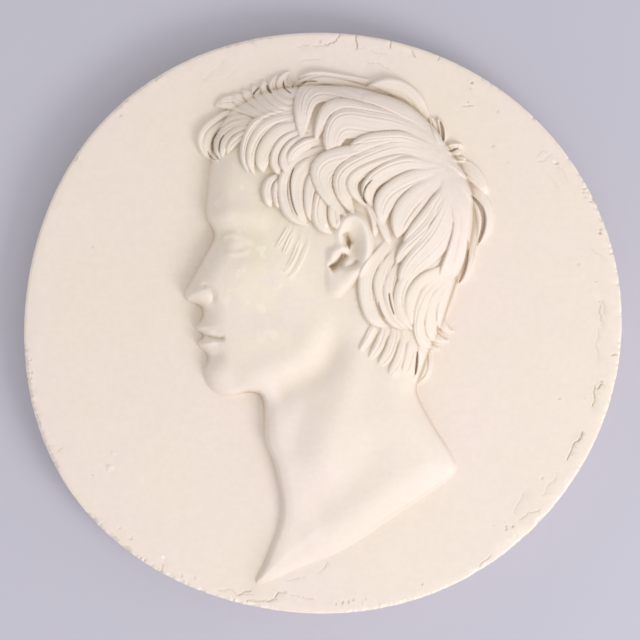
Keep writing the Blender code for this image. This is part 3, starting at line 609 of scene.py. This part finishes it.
CRACKS = [
    Crack(34.3, 0.0115, 0.0180, 178, 0.0006, 0.00022),
    Crack(33.8, 0.0200, 0.0170, 176, 0.0006, 0.00020),
    Crack(36.2, 0.0095, 0.0120, 78, 0.0007, 0.00028),
    Crack(37.9, 0.0110, 0.0080, 104, 0.0006, 0.00022),
    Crack(83.2, 0.000, 0.0115, 82, 0.0013, 0.0009),
    Crack(83.0, 0.0115, 0.0260, 178, 0.0006, 0.00035),
    Crack(95.0, 0.0105, 0.0240, 182, 0.0007, 0.00035),
    Crack(76.0, 0.000, 0.0065, 95, 0.0012, 0.0008),
    Crack(71.6, 0.0035, 0.0062, 128, 0.0011, 0.0007),
    Crack(66.0, 0.001, 0.0035, 80, 0.0010, 0.0006),
    Crack(86.3, 0.0028, 0.0140, 28, 0.0010, 0.0007),
    Crack(80.0, 0.0195, 0.0190, 176, 0.0008, 0.00035),
    Crack(90.0, 0.0205, 0.0160, 2, 0.0006, 0.00035),
    Crack(15.5, 0.0160, 0.0120, 205, 0.0006, 0.0003),
    Crack(0.5, 0.0160, 0.0160, 355, 0.0018, 0.0005),
    Crack(2.0, 0.0140, 0.0110, 350, 0.0015, 0.0004),
    Crack(55.0, 0.0220, 0.0085, 12, 0.0010, 0.0005),
    Crack(116.0, 0.0190, 0.0240, 188, 0.0010, 0.00014),
    Crack(112.0, 0.0235, 0.0150, 175, 0.0008, 0.00014),
    Crack(206.0, 0.0060, 0.0060, 80, 0.0009, 0.0004),
    Crack(237.0, 0.0010, 0.0055, 85, 0.0010, 0.0007),
    Crack(249.0, 0.0052, 0.0280, 358, 0.0008, 0.0004),
    Crack(255.0, 0.0034, 0.0240, 6, 0.0010, 0.0009),
    Crack(252.6, 0.0060, 0.0125, 14, 0.0012, 0.0008),
    Crack(259.8, 0.0085, 0.0150, 30, 0.0014, 0.0011),
    Crack(263.2, 0.0135, 0.0190, 4, 0.0007, 0.0004),
    Crack(262.0, 0.0235, 0.0150, 18, 0.0007, 0.0004),
    Crack(269.5, 0.0310, 0.0110, 35, 0.0008, 0.0004),
    Crack(303.0, 0.0030, 0.0130, 12, 0.0007, 0.0004),
    Crack(315.2, 0.0130, 0.0190, 345, 0.0008, 0.0004),
    Crack(315.6, 0.0190, 0.0180, 20, 0.0007, 0.0003),
    Crack(322.0, 0.0125, 0.0220, 358, 0.0006, 0.0003),
    Crack(331.0, 0.0125, 0.0190, 357, 0.0011, 0.0008),
    Crack(335.4, 0.0122, 0.0075, 338, 0.0020, 0.0014),
    Crack(343.0, 0.0125, 0.0165, 8, 0.0011, 0.0008),
    Crack(346.6, 0.0125, 0.0055, 312, 0.0013, 0.0010),
    Crack(354.2, 0.0000, 0.0065, 88, 0.0013, 0.0007),
    Crack(353.0, 0.0160, 0.0240, 355, 0.0014, 0.0003)]

PITS = [
    Pit(18.0, 0.0060, 0.0028, 0.0012), Pit(18.7, 0.0045, 0.0022, 0.0007), Pit(24.5, 0.0030, 0.0030, 0.0012),
    Pit(25.6, 0.0055, 0.0022, 0.0006), Pit(26.6, 0.0050, 0.0020, 0.0006), Pit(27.2, 0.0035, 0.0022, 0.0007),
    Pit(13.6, 0.0028, 0.0020, 0.0008), Pit(8.7, 0.0180, 0.0020, 0.0006), Pit(13.0, 0.0285, 0.0026, 0.0004),
    Pit(34.4, 0.0110, 0.0040, 0.0012), Pit(41.0, 0.0385, 0.0018, 0.0005), Pit(46.0, 0.0375, 0.0026, 0.0006),
    Pit(50.2, 0.0150, 0.0030, 0.0004), Pit(58.0, 0.0078, 0.0026, 0.0014), Pit(57.6, 0.0125, 0.0014, 0.0006),
    Pit(56.5, 0.0220, 0.0022, 0.0006), Pit(90.2, 0.0070, 0.0032, 0.0006), Pit(123.0, 0.0020, 0.0024, 0.0008),
    Pit(124.2, 0.0022, 0.0020, 0.0007), Pit(132.0, 0.0022, 0.0020, 0.0006), Pit(134.0, 0.0070, 0.0026, 0.0005),
    Pit(146.0, 0.0020, 0.0020, 0.0009), Pit(161.5, 0.0420, 0.0026, 0.0004), Pit(187.0, 0.0040, 0.0022, 0.0008),
    Pit(189.5, 0.0045, 0.0026, 0.0008), Pit(190.6, 0.0030, 0.0022, 0.0008), Pit(191.6, 0.0022, 0.0020, 0.0007),
    Pit(213.5, 0.0210, 0.0020, 0.0007), Pit(225.4, 0.0100, 0.0026, 0.0006), Pit(228.4, 0.0095, 0.0028, 0.0008),
    Pit(241.0, 0.0055, 0.0026, 0.0006), Pit(243.5, 0.0085, 0.0028, 0.0006), Pit(246.0, 0.0018, 0.0024, 0.0010),
    Pit(273.0, 0.0080, 0.0022, 0.0007), Pit(274.4, 0.0085, 0.0026, 0.0009), Pit(275.6, 0.0090, 0.0024, 0.0008),
    Pit(276.6, 0.0100, 0.0024, 0.0008), Pit(279.2, 0.0095, 0.0020, 0.0005), Pit(291.2, 0.0100, 0.0016, 0.0009),
    Pit(312.0, 0.0140, 0.0028, 0.0007), Pit(313.3, 0.0125, 0.0026, 0.0009), Pit(312.4, 0.0160, 0.0022, 0.0007),
    Pit(310.5, 0.0225, 0.0016, 0.0006), Pit(325.0, 0.0205, 0.0026, 0.0005), Pit(342.6, 0.0380, 0.0022, 0.0005),
    Pit(344.2, 0.0200, 0.0018, 0.0004), Pit(348.3, 0.0110, 0.0026, 0.0007), Pit(37.4, 0.0120, 0.0030, 0.0003),
    Pit(214.3, 0.0350, 0.0050, -0.0008), Pit(212.0, 0.0440, 0.0040, -0.0004), Pit(278.6, 0.0060, 0.0032, -0.0004),
    Pit(282.0, 0.0030, 0.0030, -0.0004), Pit(287.0, 0.0028, 0.0026, -0.0004), Pit(194.6, 0.0030, 0.0030, -0.0004),
    Pit(199.3, 0.0020, 0.0024, -0.0004)]

# Chips broken off the front arris: single ones, and stretches of the rim that are ragged with them
Ragged = namedtuple("Ragged", "start end count size depth")

CHIPS = [
    Chip(104.0, 0.0040, 0.0012), Chip(146.0, 0.0028, 0.0012), Chip(187.5, 0.0040, 0.0014),
    Chip(199.3, 0.0030, 0.0014), Chip(225.5, 0.0060, 0.0016), Chip(229.0, 0.0070, 0.0018),
    Chip(246.0, 0.0040, 0.0014), Chip(256.5, 0.0070, 0.0014), Chip(283.0, 0.0040, 0.0012),
    Chip(313.4, 0.0040, 0.0014), Chip(318.0, 0.0055, 0.0020), Chip(24.6, 0.0040, 0.0012)]
RAGGED = [
    Ragged(2, 34, 16, 0.0026, 0.0007), Ragged(40, 60, 6, 0.0020, 0.0005), Ragged(98, 110, 8, 0.0024, 0.0007),
    Ragged(120, 134, 12, 0.0020, 0.0006), Ragged(184, 209, 36, 0.0020, 0.0006),
    Ragged(219, 240, 34, 0.0028, 0.0009), Ragged(240, 262, 22, 0.0024, 0.0007),
    Ragged(276, 298, 20, 0.0026, 0.0008), Ragged(300, 332, 26, 0.0026, 0.0008),
    Ragged(340, 357, 12, 0.0024, 0.0007)]


def all_chips():
    """The single chips and, by a fixed unevenness, those of the ragged stretches."""
    chips = list(CHIPS)
    for row, ragged in enumerate(RAGGED):
        spacing = (ragged.end - ragged.start) / ragged.count
        for number in range(ragged.count):
            chance = 31.0 * row + number
            angle = ragged.start + spacing * (number + 0.5 + 0.5 * unevenness(chance))
            size = ragged.size * (1.0 + 0.6 * unevenness(chance + 0.3))
            chips.append(Chip(angle, size, ragged.depth * (1.0 + 0.7 * unevenness(chance + 0.6))))
    return chips


def rim_place(angle, inset):
    """A place on the ground so many metres in from the rim, and the direction along the rim."""
    turn = math.radians(angle)
    reach = float(disc_radius(turn)) + RIM_ROUNDING - inset
    return np.array([reach * math.cos(turn), reach * math.sin(turn)]), angle + 90.0


def crack_line(crack, number):
    """The wandering course of a crack."""
    start, along = rim_place(crack.angle, crack.inset)
    points = [start]
    steps = max(3, int(crack.run / 0.0022))
    for step in range(steps):
        swerve = 30.0 * unevenness(3.0 * number + step) + 12.0 * math.sin(0.9 * step)
        heading = math.radians(along + crack.lean + swerve)
        points.append(points[-1] + crack.run / steps * np.array([math.cos(heading), math.sin(heading)]))
    return np.array(points)


def cut_crack(x, z, height, gap_shade_and_darkening, crack, number):
    """Cuts a ragged crack with a low lip along its left side."""
    path = crack_line(crack, number)
    low, high = path.min(axis=0) - 0.004, path.max(axis=0) + 0.004
    near = (x > low[0]) & (x < high[0]) & (z > low[1]) & (z < high[1])
    gap, place, left = near_path(x[near], z[near], path)
    share = place / (len(path) - 1)
    ragged = 0.75 + 0.45 * cloudiness(x[near], z[near], 0.0021, 4 + number)
    swelling = 0.35 + 0.65 * np.sin(math.pi * np.clip(share, 0.05, 0.95)) ** 0.5
    half = 0.5 * crack.width * ragged * swelling
    cut = crack.depth * np.clip(1.0 - (gap / (half + 0.0002)) ** 2, 0.0, 1.0)
    lip = 0.15 * crack.depth * np.clip(1.0 - np.abs(left - 0.0014) / 0.0011, 0.0, 1.0)
    height[near] += np.where((share > 0.0) & (share < 1.0), lip, 0.0) - cut
    # The crack's colour is painted darker by its depth
    gap_shade_and_darkening[near] = np.maximum(gap_shade_and_darkening[near], cut / 0.0009)


def cut_pit(x, z, height, gap_shade_and_darkening, pit, number):
    """Cuts a ragged pit with a low lip round it, or leaves a lump where its depth is negative."""
    (middle_x, middle_z), _ = rim_place(pit.angle, pit.inset)
    near = np.hypot(x - middle_x, z - middle_z) < 2.5 * pit.size
    out = np.hypot(x[near] - middle_x, z[near] - middle_z)
    ragged = 1.0 + 0.5 * cloudiness(x[near], z[near], 0.0016, 60 + number)
    reach = 0.5 * pit.size * ragged
    cut = pit.depth * np.clip(1.0 - (out / reach) ** 2, 0.0, 1.0)
    lip = 0.12 * pit.depth * np.clip(1.0 - np.abs(out / reach - 1.45) / 0.4, 0.0, 1.0)
    height[near] += lip - cut
    # The pit's colour is painted darker by its depth
    gap_shade_and_darkening[near] = np.maximum(gap_shade_and_darkening[near], cut / 0.0012)


def worn(x, z, height, gap_shade_and_darkening):
    """The ground with its cracks, scratches, pits and lumps; the darkening grid notes how much darker they are
    painted.
    """
    for number, crack in enumerate(CRACKS):
        cut_crack(x, z, height, gap_shade_and_darkening, crack, number + 1)
    for number, pit in enumerate(PITS):
        cut_pit(x, z, height, gap_shade_and_darkening, pit, number)
    return height


def break_chips(places):
    """Breaks small chips off the front arris, each along a slanting uneven face."""
    for number, chip in enumerate(all_chips()):
        (middle_x, middle_z), _ = rim_place(chip.angle, 0.0)
        middle = np.array([middle_x, -DISC_THICKNESS, middle_z])
        outwards = np.array([middle_x, 0.0, middle_z]) / math.hypot(middle_x, middle_z)
        slant = outwards * 0.80 + np.array([0.0, -0.60, 0.0])
        off = places - middle
        near = np.linalg.norm(off, axis=1) < 2.0 * chip.size
        off = off[near]
        along = np.abs(off @ np.array([-outwards[2], 0.0, outwards[0]]))
        face = cloudiness(places[near, 0] + 0.7 * places[near, 1], places[near, 2], 0.0019, 90 + number)
        level = -0.45 * RIM_ROUNDING - chip.depth * (1.0 - (along / chip.size) ** 2) + 0.0004 * face
        over = np.where(along < chip.size, off @ slant - level, 0.0)
        places[near] -= np.clip(over, 0.0, None)[:, None] * slant
    return places


def softened(values, steps):
    """The grid of values averaged with its neighbours, so many times over."""
    for _ in range(steps):
        padded = np.pad(values, 1, mode="edge")
        values = 0.5 * values + 0.125 * (
            padded[:-2, 1:-1] + padded[2:, 1:-1] + padded[1:-1, :-2] + padded[1:-1, 2:])
    return values


def wide_average(values, reach):
    """The grid of values averaged over so many lines each way, three times over."""
    span = 2 * reach + 1
    for _ in range(3):
        for _ in range(2):
            total = np.cumsum(np.pad(values, ((reach + 1, reach), (0, 0)), mode="edge"), axis=0)
            values = ((total[span:] - total[:-span]) / span).T
    return values


def grid_lines(count, start, end):
    """Places of grid lines from -1 to 1, closer together from start to end."""
    place = np.linspace(-1.0, 1.0, 2001)
    density = 1.0 + 0.7 * rise(start - 0.08, start + 0.02, place) * rise(-end - 0.08, -end + 0.02, -place)
    filled = np.concatenate([[0.0], np.cumsum(0.5 * (density[1:] + density[:-1]))])
    return np.interp(np.linspace(0.0, filled[-1], count), filled, place)


def deselect_all():
    bpy.ops.object.select_all(action="DESELECT")


def note_on_surface(piece, name, values):
    """Keeps a value at each vertex for the material to read."""
    note = piece.data.attributes.new(name, "FLOAT", "POINT")
    note.data.foreach_set("value", values.reshape(-1).astype(np.float32))


def place_front(piece):
    """Bends the flat grid to the disc, raises the relief on it and notes where it is hollow or raised, for the
    painted shade and highlights, and where it is painted darker.
    """
    across_lines = grid_lines(LINES_ACROSS, -0.52, 0.58)
    up_lines = grid_lines(LINES_UP, -0.36, 0.88)
    square_x, square_z = np.meshgrid(across_lines, up_lines)
    x = square_x * np.sqrt(1.0 - square_z ** 2 / 2.0)
    z = square_z * np.sqrt(1.0 - square_x ** 2 / 2.0)
    radius = disc_radius(np.arctan2(z, x))
    x, z = x * radius, z * radius
    u, v = (x - EAR_ASIDE) / HEAD_HEIGHT, (z - EAR_ABOVE) / HEAD_HEIGHT
    height = softened(relief_height(x, z), 1)
    # Painted shade: the deep gaps between locks darker, by their depth
    gap_shade_and_darkening = np.clip(gap_depths(u, v) / 4.0, 0.0, 1.0)
    # A brownish patch painted at the point of the bust
    gap_shade_and_darkening = np.maximum(gap_shade_and_darkening, 0.30 * mound(u, v, (-0.262, -0.975), (0.09, 0.035), 75))
    height = worn(x, z, height + ground_unevenness(x, z), gap_shade_and_darkening)
    places = np.stack([x, -DISC_THICKNESS - height, z], axis=-1)
    piece.data.vertices.foreach_set("co", places.reshape(-1).astype(np.float32))
    # Painted shade and highlight are kept faint on the flat ground of the disc
    raised = 0.12 + 0.88 * rise(0.001, 0.004, height)
    reach = 4
    # Painted shade in creases and grooves, and painted highlight on raised lips and crests, from how far each
    # place lies below or above its near surroundings
    hollow_shade_and_highlight = (wide_average(height, reach) - height) / 0.0013
    # Painted shade: a broad darkening wherever a place lies below its wide surroundings, in recesses of the
    # relief
    sheltered_shade = (wide_average(height, 4 * reach) - height) / 0.0040
    note_on_surface(piece, "hollow_shade_and_highlight", np.clip(raised * hollow_shade_and_highlight, -1.0, 1.0))
    note_on_surface(piece, "sheltered_shade", np.clip(raised * sheltered_shade, 0.0, 1.0))
    note_on_surface(piece, "gap_shade_and_darkening", np.clip(gap_shade_and_darkening, 0.0, 1.0))
    note_on_surface(piece, "stain", mound(u, v, (-0.26, 0.02), (0.16, 0.30), 12))


def extrude_edge(outwards, backwards):
    """Carries the selected rim of the disc on, outwards and back towards the wall."""
    bpy.ops.mesh.extrude_region_move(TRANSFORM_OT_translate={"value": (0.0, backwards, 0.0)})
    size = 1.0 + outwards / 0.225
    bpy.ops.transform.resize(value=(size, 1.0, size), center_override=(0.0, 0.0, 0.0))


# The shares of the side's depth that its rings of faces take, from the front arris to the back
SIDE_STEPS = [0.03] * 5 + [0.05] * 17


def carry_round_the_side():
    """The grid's edge carried round the worn arris and back along the side, which is left open behind."""
    bpy.ops.object.mode_set(mode="EDIT")
    bpy.ops.mesh.select_mode(type="EDGE")
    bpy.ops.mesh.select_all(action="DESELECT")
    bpy.ops.mesh.select_non_manifold()
    corners = 4
    outwards = backwards = 0.0
    for number in range(1, corners + 1):
        angle = math.radians(90.0) * number / corners
        out, back = RIM_ROUNDING * math.sin(angle), RIM_ROUNDING * (1.0 - math.cos(angle))
        extrude_edge(out - outwards, back - backwards)
        outwards, backwards = out, back
    side = DISC_THICKNESS - RIM_ROUNDING
    for share in SIDE_STEPS:
        extrude_edge(RIM_DRAFT * share, side * share)
    bpy.ops.object.mode_set(mode="OBJECT")


def roughen_side(piece):
    """The side was left as it came from the mould, and later chipped."""
    places = np.empty(len(piece.data.vertices) * 3, dtype=np.float32)
    piece.data.vertices.foreach_get("co", places)
    places = places.reshape(-1, 3).astype(float)
    x, y, z = places.T
    out = np.hypot(x, z)
    round_rim = np.arctan2(z, x) * 0.225
    side = rise(-DISC_THICKNESS + 0.5 * RIM_ROUNDING, -0.8 * DISC_THICKNESS, y) * rise(0.0, -0.0015, y)
    rough = 0.00030 * cloudiness(round_rim, y, 0.008, 7) + 0.00010 * cloudiness(round_rim, y, 0.0035, 8)
    places[:, 0] += x / np.maximum(out, 0.01) * rough * side
    places[:, 2] += z / np.maximum(out, 0.01) * rough * side
    places = break_chips(places)
    piece.data.vertices.foreach_set("co", places.reshape(-1).astype(np.float32))


def close_back():
    """The open end of the side brought into the wall's plane and filled, as plaster struck off flat."""
    bpy.ops.object.mode_set(mode="EDIT")
    bpy.ops.mesh.select_mode(type="EDGE")
    bpy.ops.mesh.select_all(action="DESELECT")
    bpy.ops.mesh.select_non_manifold()
    bpy.ops.transform.resize(value=(1.0, 0.0, 1.0), center_override=(0.0, 0.0, 0.0))
    bpy.ops.mesh.remove_doubles(threshold=0.0004)
    bpy.ops.mesh.edge_face_add()
    bpy.ops.mesh.faces_shade_flat()
    bpy.ops.object.mode_set(mode="OBJECT")


def model_plaque():
    """The cast plaque: a grid raised to the relief, carried round the rim and closed at the back."""
    deselect_all()
    bpy.ops.mesh.primitive_grid_add(x_subdivisions=LINES_ACROSS - 1, y_subdivisions=LINES_UP - 1, size=2.0)
    piece = bpy.context.object
    piece.name = piece.data.name = "plaster_relief"
    place_front(piece)
    carry_round_the_side()
    roughen_side(piece)
    thin = piece.modifiers.new("thin", "DECIMATE")
    piece.data.calc_loop_triangles()
    thin.ratio = min(1.0, TRIANGLES / len(piece.data.loop_triangles))
    bpy.ops.object.modifier_apply(modifier=thin.name)
    bpy.ops.object.shade_smooth_by_angle(angle=math.radians(60.0))
    close_back()
    return piece


def add_node(tree, kind, inputs=None, **settings):
    """A shader node with its settings, and its inputs given as values or as sockets to link."""
    made = tree.nodes.new(kind)
    for name, value in settings.items():
        setattr(made, name, value)
    for name, value in (inputs or {}).items():
        if isinstance(value, bpy.types.NodeSocket):
            tree.links.new(value, made.inputs[name])
        else:
            made.inputs[name].default_value = value
    return made


def calculated(tree, operation, first, second=0.0):
    return add_node(tree, "ShaderNodeMath", {0: first, 1: second}, operation=operation).outputs[0]


def between(tree, value, low, high, to_low=0.0, to_high=1.0):
    """The value spread from low..high onto to_low..to_high, smooth at both ends."""
    spread = {"Value": value, "From Min": low, "From Max": high, "To Min": to_low, "To Max": to_high}
    return add_node(tree, "ShaderNodeMapRange", spread, interpolation_type="SMOOTHSTEP").outputs[0]


def blended(tree, share, first, second, way="MIX"):
    mix = {0: share, 6: first, 7: second}
    return add_node(tree, "ShaderNodeMix", mix, data_type="RGBA", blend_type=way).outputs[2]


def new_group(name, inputs, outputs):
    """An empty node group with named inputs, each with its first value, and named outputs."""
    group = bpy.data.node_groups.new(name, "ShaderNodeTree")
    for label, kind, value in inputs:
        socket = group.interface.new_socket(label, in_out="INPUT", socket_type=kind)
        if value is not None:
            socket.default_value = value
    for label, kind in outputs:
        group.interface.new_socket(label, in_out="OUTPUT", socket_type=kind)
    return group, group.nodes.new("NodeGroupInput").outputs, group.nodes.new("NodeGroupOutput").inputs


def clouds_group():
    """Soft uneven clouds of a size in metres, from 0 to 1."""
    sockets = [
        ("Place", "NodeSocketVector", None), ("Size", "NodeSocketFloat", 0.02),
        ("Start", "NodeSocketFloat", 0.0), ("Detail", "NodeSocketFloat", 3.0)]
    group, given, result = new_group("clouds", sockets, [("Value", "NodeSocketFloat")])
    scale = calculated(group, "DIVIDE", 1.0, given["Size"])
    scaled = add_node(group, "ShaderNodeVectorMath", {0: given["Place"], "Scale": scale}, operation="SCALE")
    moved = add_node(
        group, "ShaderNodeVectorMath", {0: scaled.outputs[0], 1: given["Start"]}, operation="ADD")
    noise = add_node(
        group, "ShaderNodeTexNoise", {"Vector": moved.outputs[0], "Scale": 1.0, "Detail": given["Detail"]})
    group.links.new(noise.outputs[0], result["Value"])
    return group


def flecks_group():
    """Small scattered specks: how far apart and how wide, in metres, and how many places have one."""
    sockets = [
        ("Place", "NodeSocketVector", None), ("Apart", "NodeSocketFloat", 0.02),
        ("Width", "NodeSocketFloat", 0.001), ("Share", "NodeSocketFloat", 0.5)]
    group, given, result = new_group("flecks", sockets, [("Mask", "NodeSocketFloat")])
    scale = calculated(group, "DIVIDE", 1.0, given["Apart"])
    cells = add_node(group, "ShaderNodeTexVoronoi", {"Vector": given["Place"], "Scale": scale})
    reach = calculated(group, "MULTIPLY", calculated(group, "DIVIDE", given["Width"], given["Apart"]), 0.5)
    chance = add_node(group, "ShaderNodeSeparateColor", {0: cells.outputs["Color"]})
    uneven = calculated(group, "MULTIPLY", reach, calculated(group, "ADD", chance.outputs[1], 0.4))
    inside = calculated(group, "LESS_THAN", cells.outputs["Distance"], uneven)
    chosen = calculated(group, "LESS_THAN", chance.outputs[0], given["Share"])
    group.links.new(calculated(group, "MULTIPLY", inside, chosen), result["Mask"])
    return group


def use_group(tree, group, **values):
    made = add_node(tree, "ShaderNodeGroup", node_tree=group)
    for name, value in values.items():
        if isinstance(value, bpy.types.NodeSocket):
            tree.links.new(value, made.inputs[name])
        else:
            made.inputs[name].default_value = value
    return made.outputs[0]


def colour(red, green, blue):
    """A colour as a paint chart gives it, turned into the light it reflects."""
    light = [part / 12.92 if part <= 0.04045 else ((part + 0.055) / 1.055) ** 2.4 for part in (red, green, blue)]
    return (*light, 1.0)


def plaster(clouds, flecks):
    """Old cast plaster: cream, mottled yellow and pink, with painted brown shade in its hollows and gaps, painted
    highlights on raised lips and the front arris, darker cracks, and pits and white specks.
    """
    material = bpy.data.materials.new("cast plaster")
    material.use_nodes = True
    tree = material.node_tree
    place = add_node(tree, "ShaderNodeTexCoord").outputs["Object"]
    broad = use_group(tree, clouds, Place=place, Size=0.090, Start=3.0)
    patchy = use_group(tree, clouds, Place=place, Size=0.022, Start=11.0)
    fine = use_group(tree, clouds, Place=place, Size=0.0040, Start=5.0, Detail=5.0)
    scrapes = use_group(tree, clouds, Place=place, Size=0.012, Start=21.0, Detail=4.0)
    depth = add_node(tree, "ShaderNodeSeparateXYZ", {0: place}).outputs[1]
    hollow_shade_and_highlight, sheltered_shade, gap_shade_and_darkening, stain = (
        add_node(tree, "ShaderNodeAttribute", attribute_name=name).outputs["Fac"]
        for name in ("hollow_shade_and_highlight", "sheltered_shade", "gap_shade_and_darkening", "stain"))

    pink, cream = colour(0.918, 0.856, 0.820), colour(0.914, 0.858, 0.806)
    ground = blended(tree, between(tree, broad, 0.35, 0.65), pink, cream)
    ground = blended(tree, between(tree, patchy, 0.52, 0.80, 0.0, 0.35), ground, colour(0.925, 0.875, 0.820))
    old = calculated(tree, "MULTIPLY", stain, between(tree, patchy, 0.38, 0.62))
    ground = blended(tree, calculated(tree, "MULTIPLY", old, 0.70), ground, colour(0.940, 0.895, 0.800))
    scraped = calculated(tree, "MULTIPLY", stain, between(tree, scrapes, 0.60, 0.66))
    ground = blended(tree, calculated(tree, "MULTIPLY", scraped, 0.55), ground, colour(0.975, 0.940, 0.870))
    shade = between(tree, fine, 0.30, 0.70, 0.985, 1.012)
    grey = add_node(tree, "ShaderNodeCombineColor", {0: shade, 1: shade, 2: shade}).outputs[0]
    ground = blended(tree, 1.0, ground, grey, "MULTIPLY")
    # Painted shade: broad recesses darker tan
    ground = blended(tree, calculated(tree, "MULTIPLY", sheltered_shade, 0.60), ground, colour(0.800, 0.735, 0.640))
    # Painted shade: creases and grooves darker brown
    ground = blended(tree, between(tree, hollow_shade_and_highlight, 0.15, 1.0, 0.0, 0.50), ground, colour(0.690, 0.600, 0.500))
    # Painted highlight: raised lips and crests lighter
    ground = blended(tree, between(tree, hollow_shade_and_highlight, -0.15, -0.8, 0.0, 0.40), ground, colour(0.945, 0.895, 0.865))
    # Painted shade in the deep gaps between locks; cracks, pits and the point of the bust darker brown
    ground = blended(tree, calculated(tree, "MULTIPLY", gap_shade_and_darkening, 0.65), ground, colour(0.650, 0.560, 0.460))
    # Painted highlight: a thin lighter band along the rounded front arris, broken up by fine clouds
    arris = calculated(
        tree, "MULTIPLY", between(tree, depth, -0.0297, -0.0290), between(tree, depth, -0.0262, -0.0275))
    arris_highlight = calculated(tree, "MULTIPLY", arris, between(tree, fine, 0.35, 0.60, 0.25, 0.80))
    ground = blended(tree, arris_highlight, ground, colour(0.970, 0.935, 0.890))
    white = use_group(tree, flecks, Place=place, Apart=0.030, Width=0.0022, Share=0.30)
    ground = blended(tree, calculated(tree, "MULTIPLY", white, 0.7), ground, colour(0.975, 0.955, 0.935))
    dark = use_group(tree, flecks, Place=place, Apart=0.034, Width=0.0011, Share=0.35)
    ground = blended(tree, calculated(tree, "MULTIPLY", dark, 0.75), ground, colour(0.480, 0.400, 0.340))

    grain = use_group(tree, clouds, Place=place, Size=0.0011, Start=2.0, Detail=4.0)
    stretch = {"Vector": place, "Rotation": (0.0, 0.5, 0.0), "Scale": (1.0, 1.0, 9.0)}
    stretched = add_node(tree, "ShaderNodeMapping", stretch).outputs[0]
    strokes = use_group(tree, clouds, Place=stretched, Size=0.020, Start=7.0, Detail=4.0)
    relief = calculated(tree, "MULTIPLY", grain, 0.35)
    relief = calculated(tree, "ADD", relief, calculated(tree, "MULTIPLY", strokes, 0.65))
    relief = calculated(tree, "SUBTRACT", relief, dark)
    bump = add_node(tree, "ShaderNodeBump", {"Strength": 0.45, "Distance": 0.0003, "Height": relief})
    shader = tree.nodes["Principled BSDF"]
    shader.inputs["Specular IOR Level"].default_value = 0.35
    tree.links.new(ground, shader.inputs["Base Color"])
    tree.links.new(between(tree, patchy, 0.3, 0.7, 0.58, 0.76), shader.inputs["Roughness"])
    tree.links.new(bump.outputs[0], shader.inputs["Normal"])
    return material


def backdrop_material(clouds):
    """A pale painted wall. It is clear from behind, and to light that leaves the plaque's back."""
    material = bpy.data.materials.new("pale wall")
    material.use_nodes = True
    tree = material.node_tree
    place = add_node(tree, "ShaderNodeTexCoord").outputs["Object"]
    mottle = use_group(tree, clouds, Place=place, Size=0.35, Start=1.0)
    cool, warm = colour(0.740, 0.730, 0.780), colour(0.752, 0.741, 0.788)
    paint = blended(tree, between(tree, mottle, 0.3, 0.7), cool, warm)
    shader = tree.nodes["Principled BSDF"]
    shader.inputs["Roughness"].default_value = 0.9
    tree.links.new(paint, shader.inputs["Base Color"])
    through = add_node(tree, "ShaderNodeBsdfTransparent").outputs[0]
    behind = add_node(tree, "ShaderNodeNewGeometry").outputs["Backfacing"]
    close = calculated(tree, "LESS_THAN", add_node(tree, "ShaderNodeLightPath").outputs["Ray Length"], 0.004)
    clear = calculated(tree, "MAXIMUM", behind, close)
    mix = add_node(tree, "ShaderNodeMixShader", {0: clear, 1: shader.outputs[0], 2: through})
    tree.links.new(mix.outputs[0], tree.nodes["Material Output"].inputs["Surface"])
    return material


def make_backdrop(clouds):
    deselect_all()
    upright = (math.radians(90.0), 0.0, 0.0)
    bpy.ops.mesh.primitive_plane_add(size=6.0, location=(0.0, 0.001, 0.0), rotation=upright)
    wall = bpy.context.object
    wall.name = "backdrop"
    wall.data.materials.append(backdrop_material(clouds))


def add_lamp(name, place, power, size, colour):
    light = bpy.data.lights.new(name, "AREA")
    light.energy, light.size, light.color = power, size, colour
    lamp = bpy.data.objects.new(name, light)
    lamp.location = place
    lamp.rotation_euler = (-lamp.location).to_track_quat("-Z", "Y").to_euler()
    bpy.context.collection.objects.link(lamp)


def light_scene():
    scene = bpy.context.scene
    world = bpy.data.worlds.new("studio")
    world.use_nodes = True
    world.node_tree.nodes["Background"].inputs["Color"].default_value = (0.965, 0.975, 0.975, 1.0)
    world.node_tree.nodes["Background"].inputs["Strength"].default_value = 0.735
    scene.world = world
    scene.view_settings.view_transform = "Standard"
    add_lamp("window", (1.5, -1.5, -1.3), 26.5, 1.0, (0.975, 0.965, 0.970))
    add_lamp("room", (0.9, -2.4, -1.2), 12.0, 2.0, (0.980, 0.975, 0.980))


def make_camera():
    lens = 100.0
    data = bpy.data.cameras.new("camera")
    data.lens = lens
    distance = PICTURE * PIXEL * lens / data.sensor_width
    camera = bpy.data.objects.new("camera", data)
    camera.location = (
        (PICTURE / 2.0 - MIDDLE_PIXEL[0]) * PIXEL,
        -DISC_THICKNESS - distance,
        (MIDDLE_PIXEL[1] - PICTURE / 2.0) * PIXEL)
    camera.rotation_euler = (math.radians(90.0), 0.0, 0.0)
    bpy.context.collection.objects.link(camera)
    bpy.context.scene.camera = camera


clouds, flecks = clouds_group(), flecks_group()
plaque = model_plaque()
plaque.data.materials.append(plaster(clouds, flecks))
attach(plaque, "root")
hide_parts("relief_plaque")
make_backdrop(clouds)
light_scene()
make_camera()
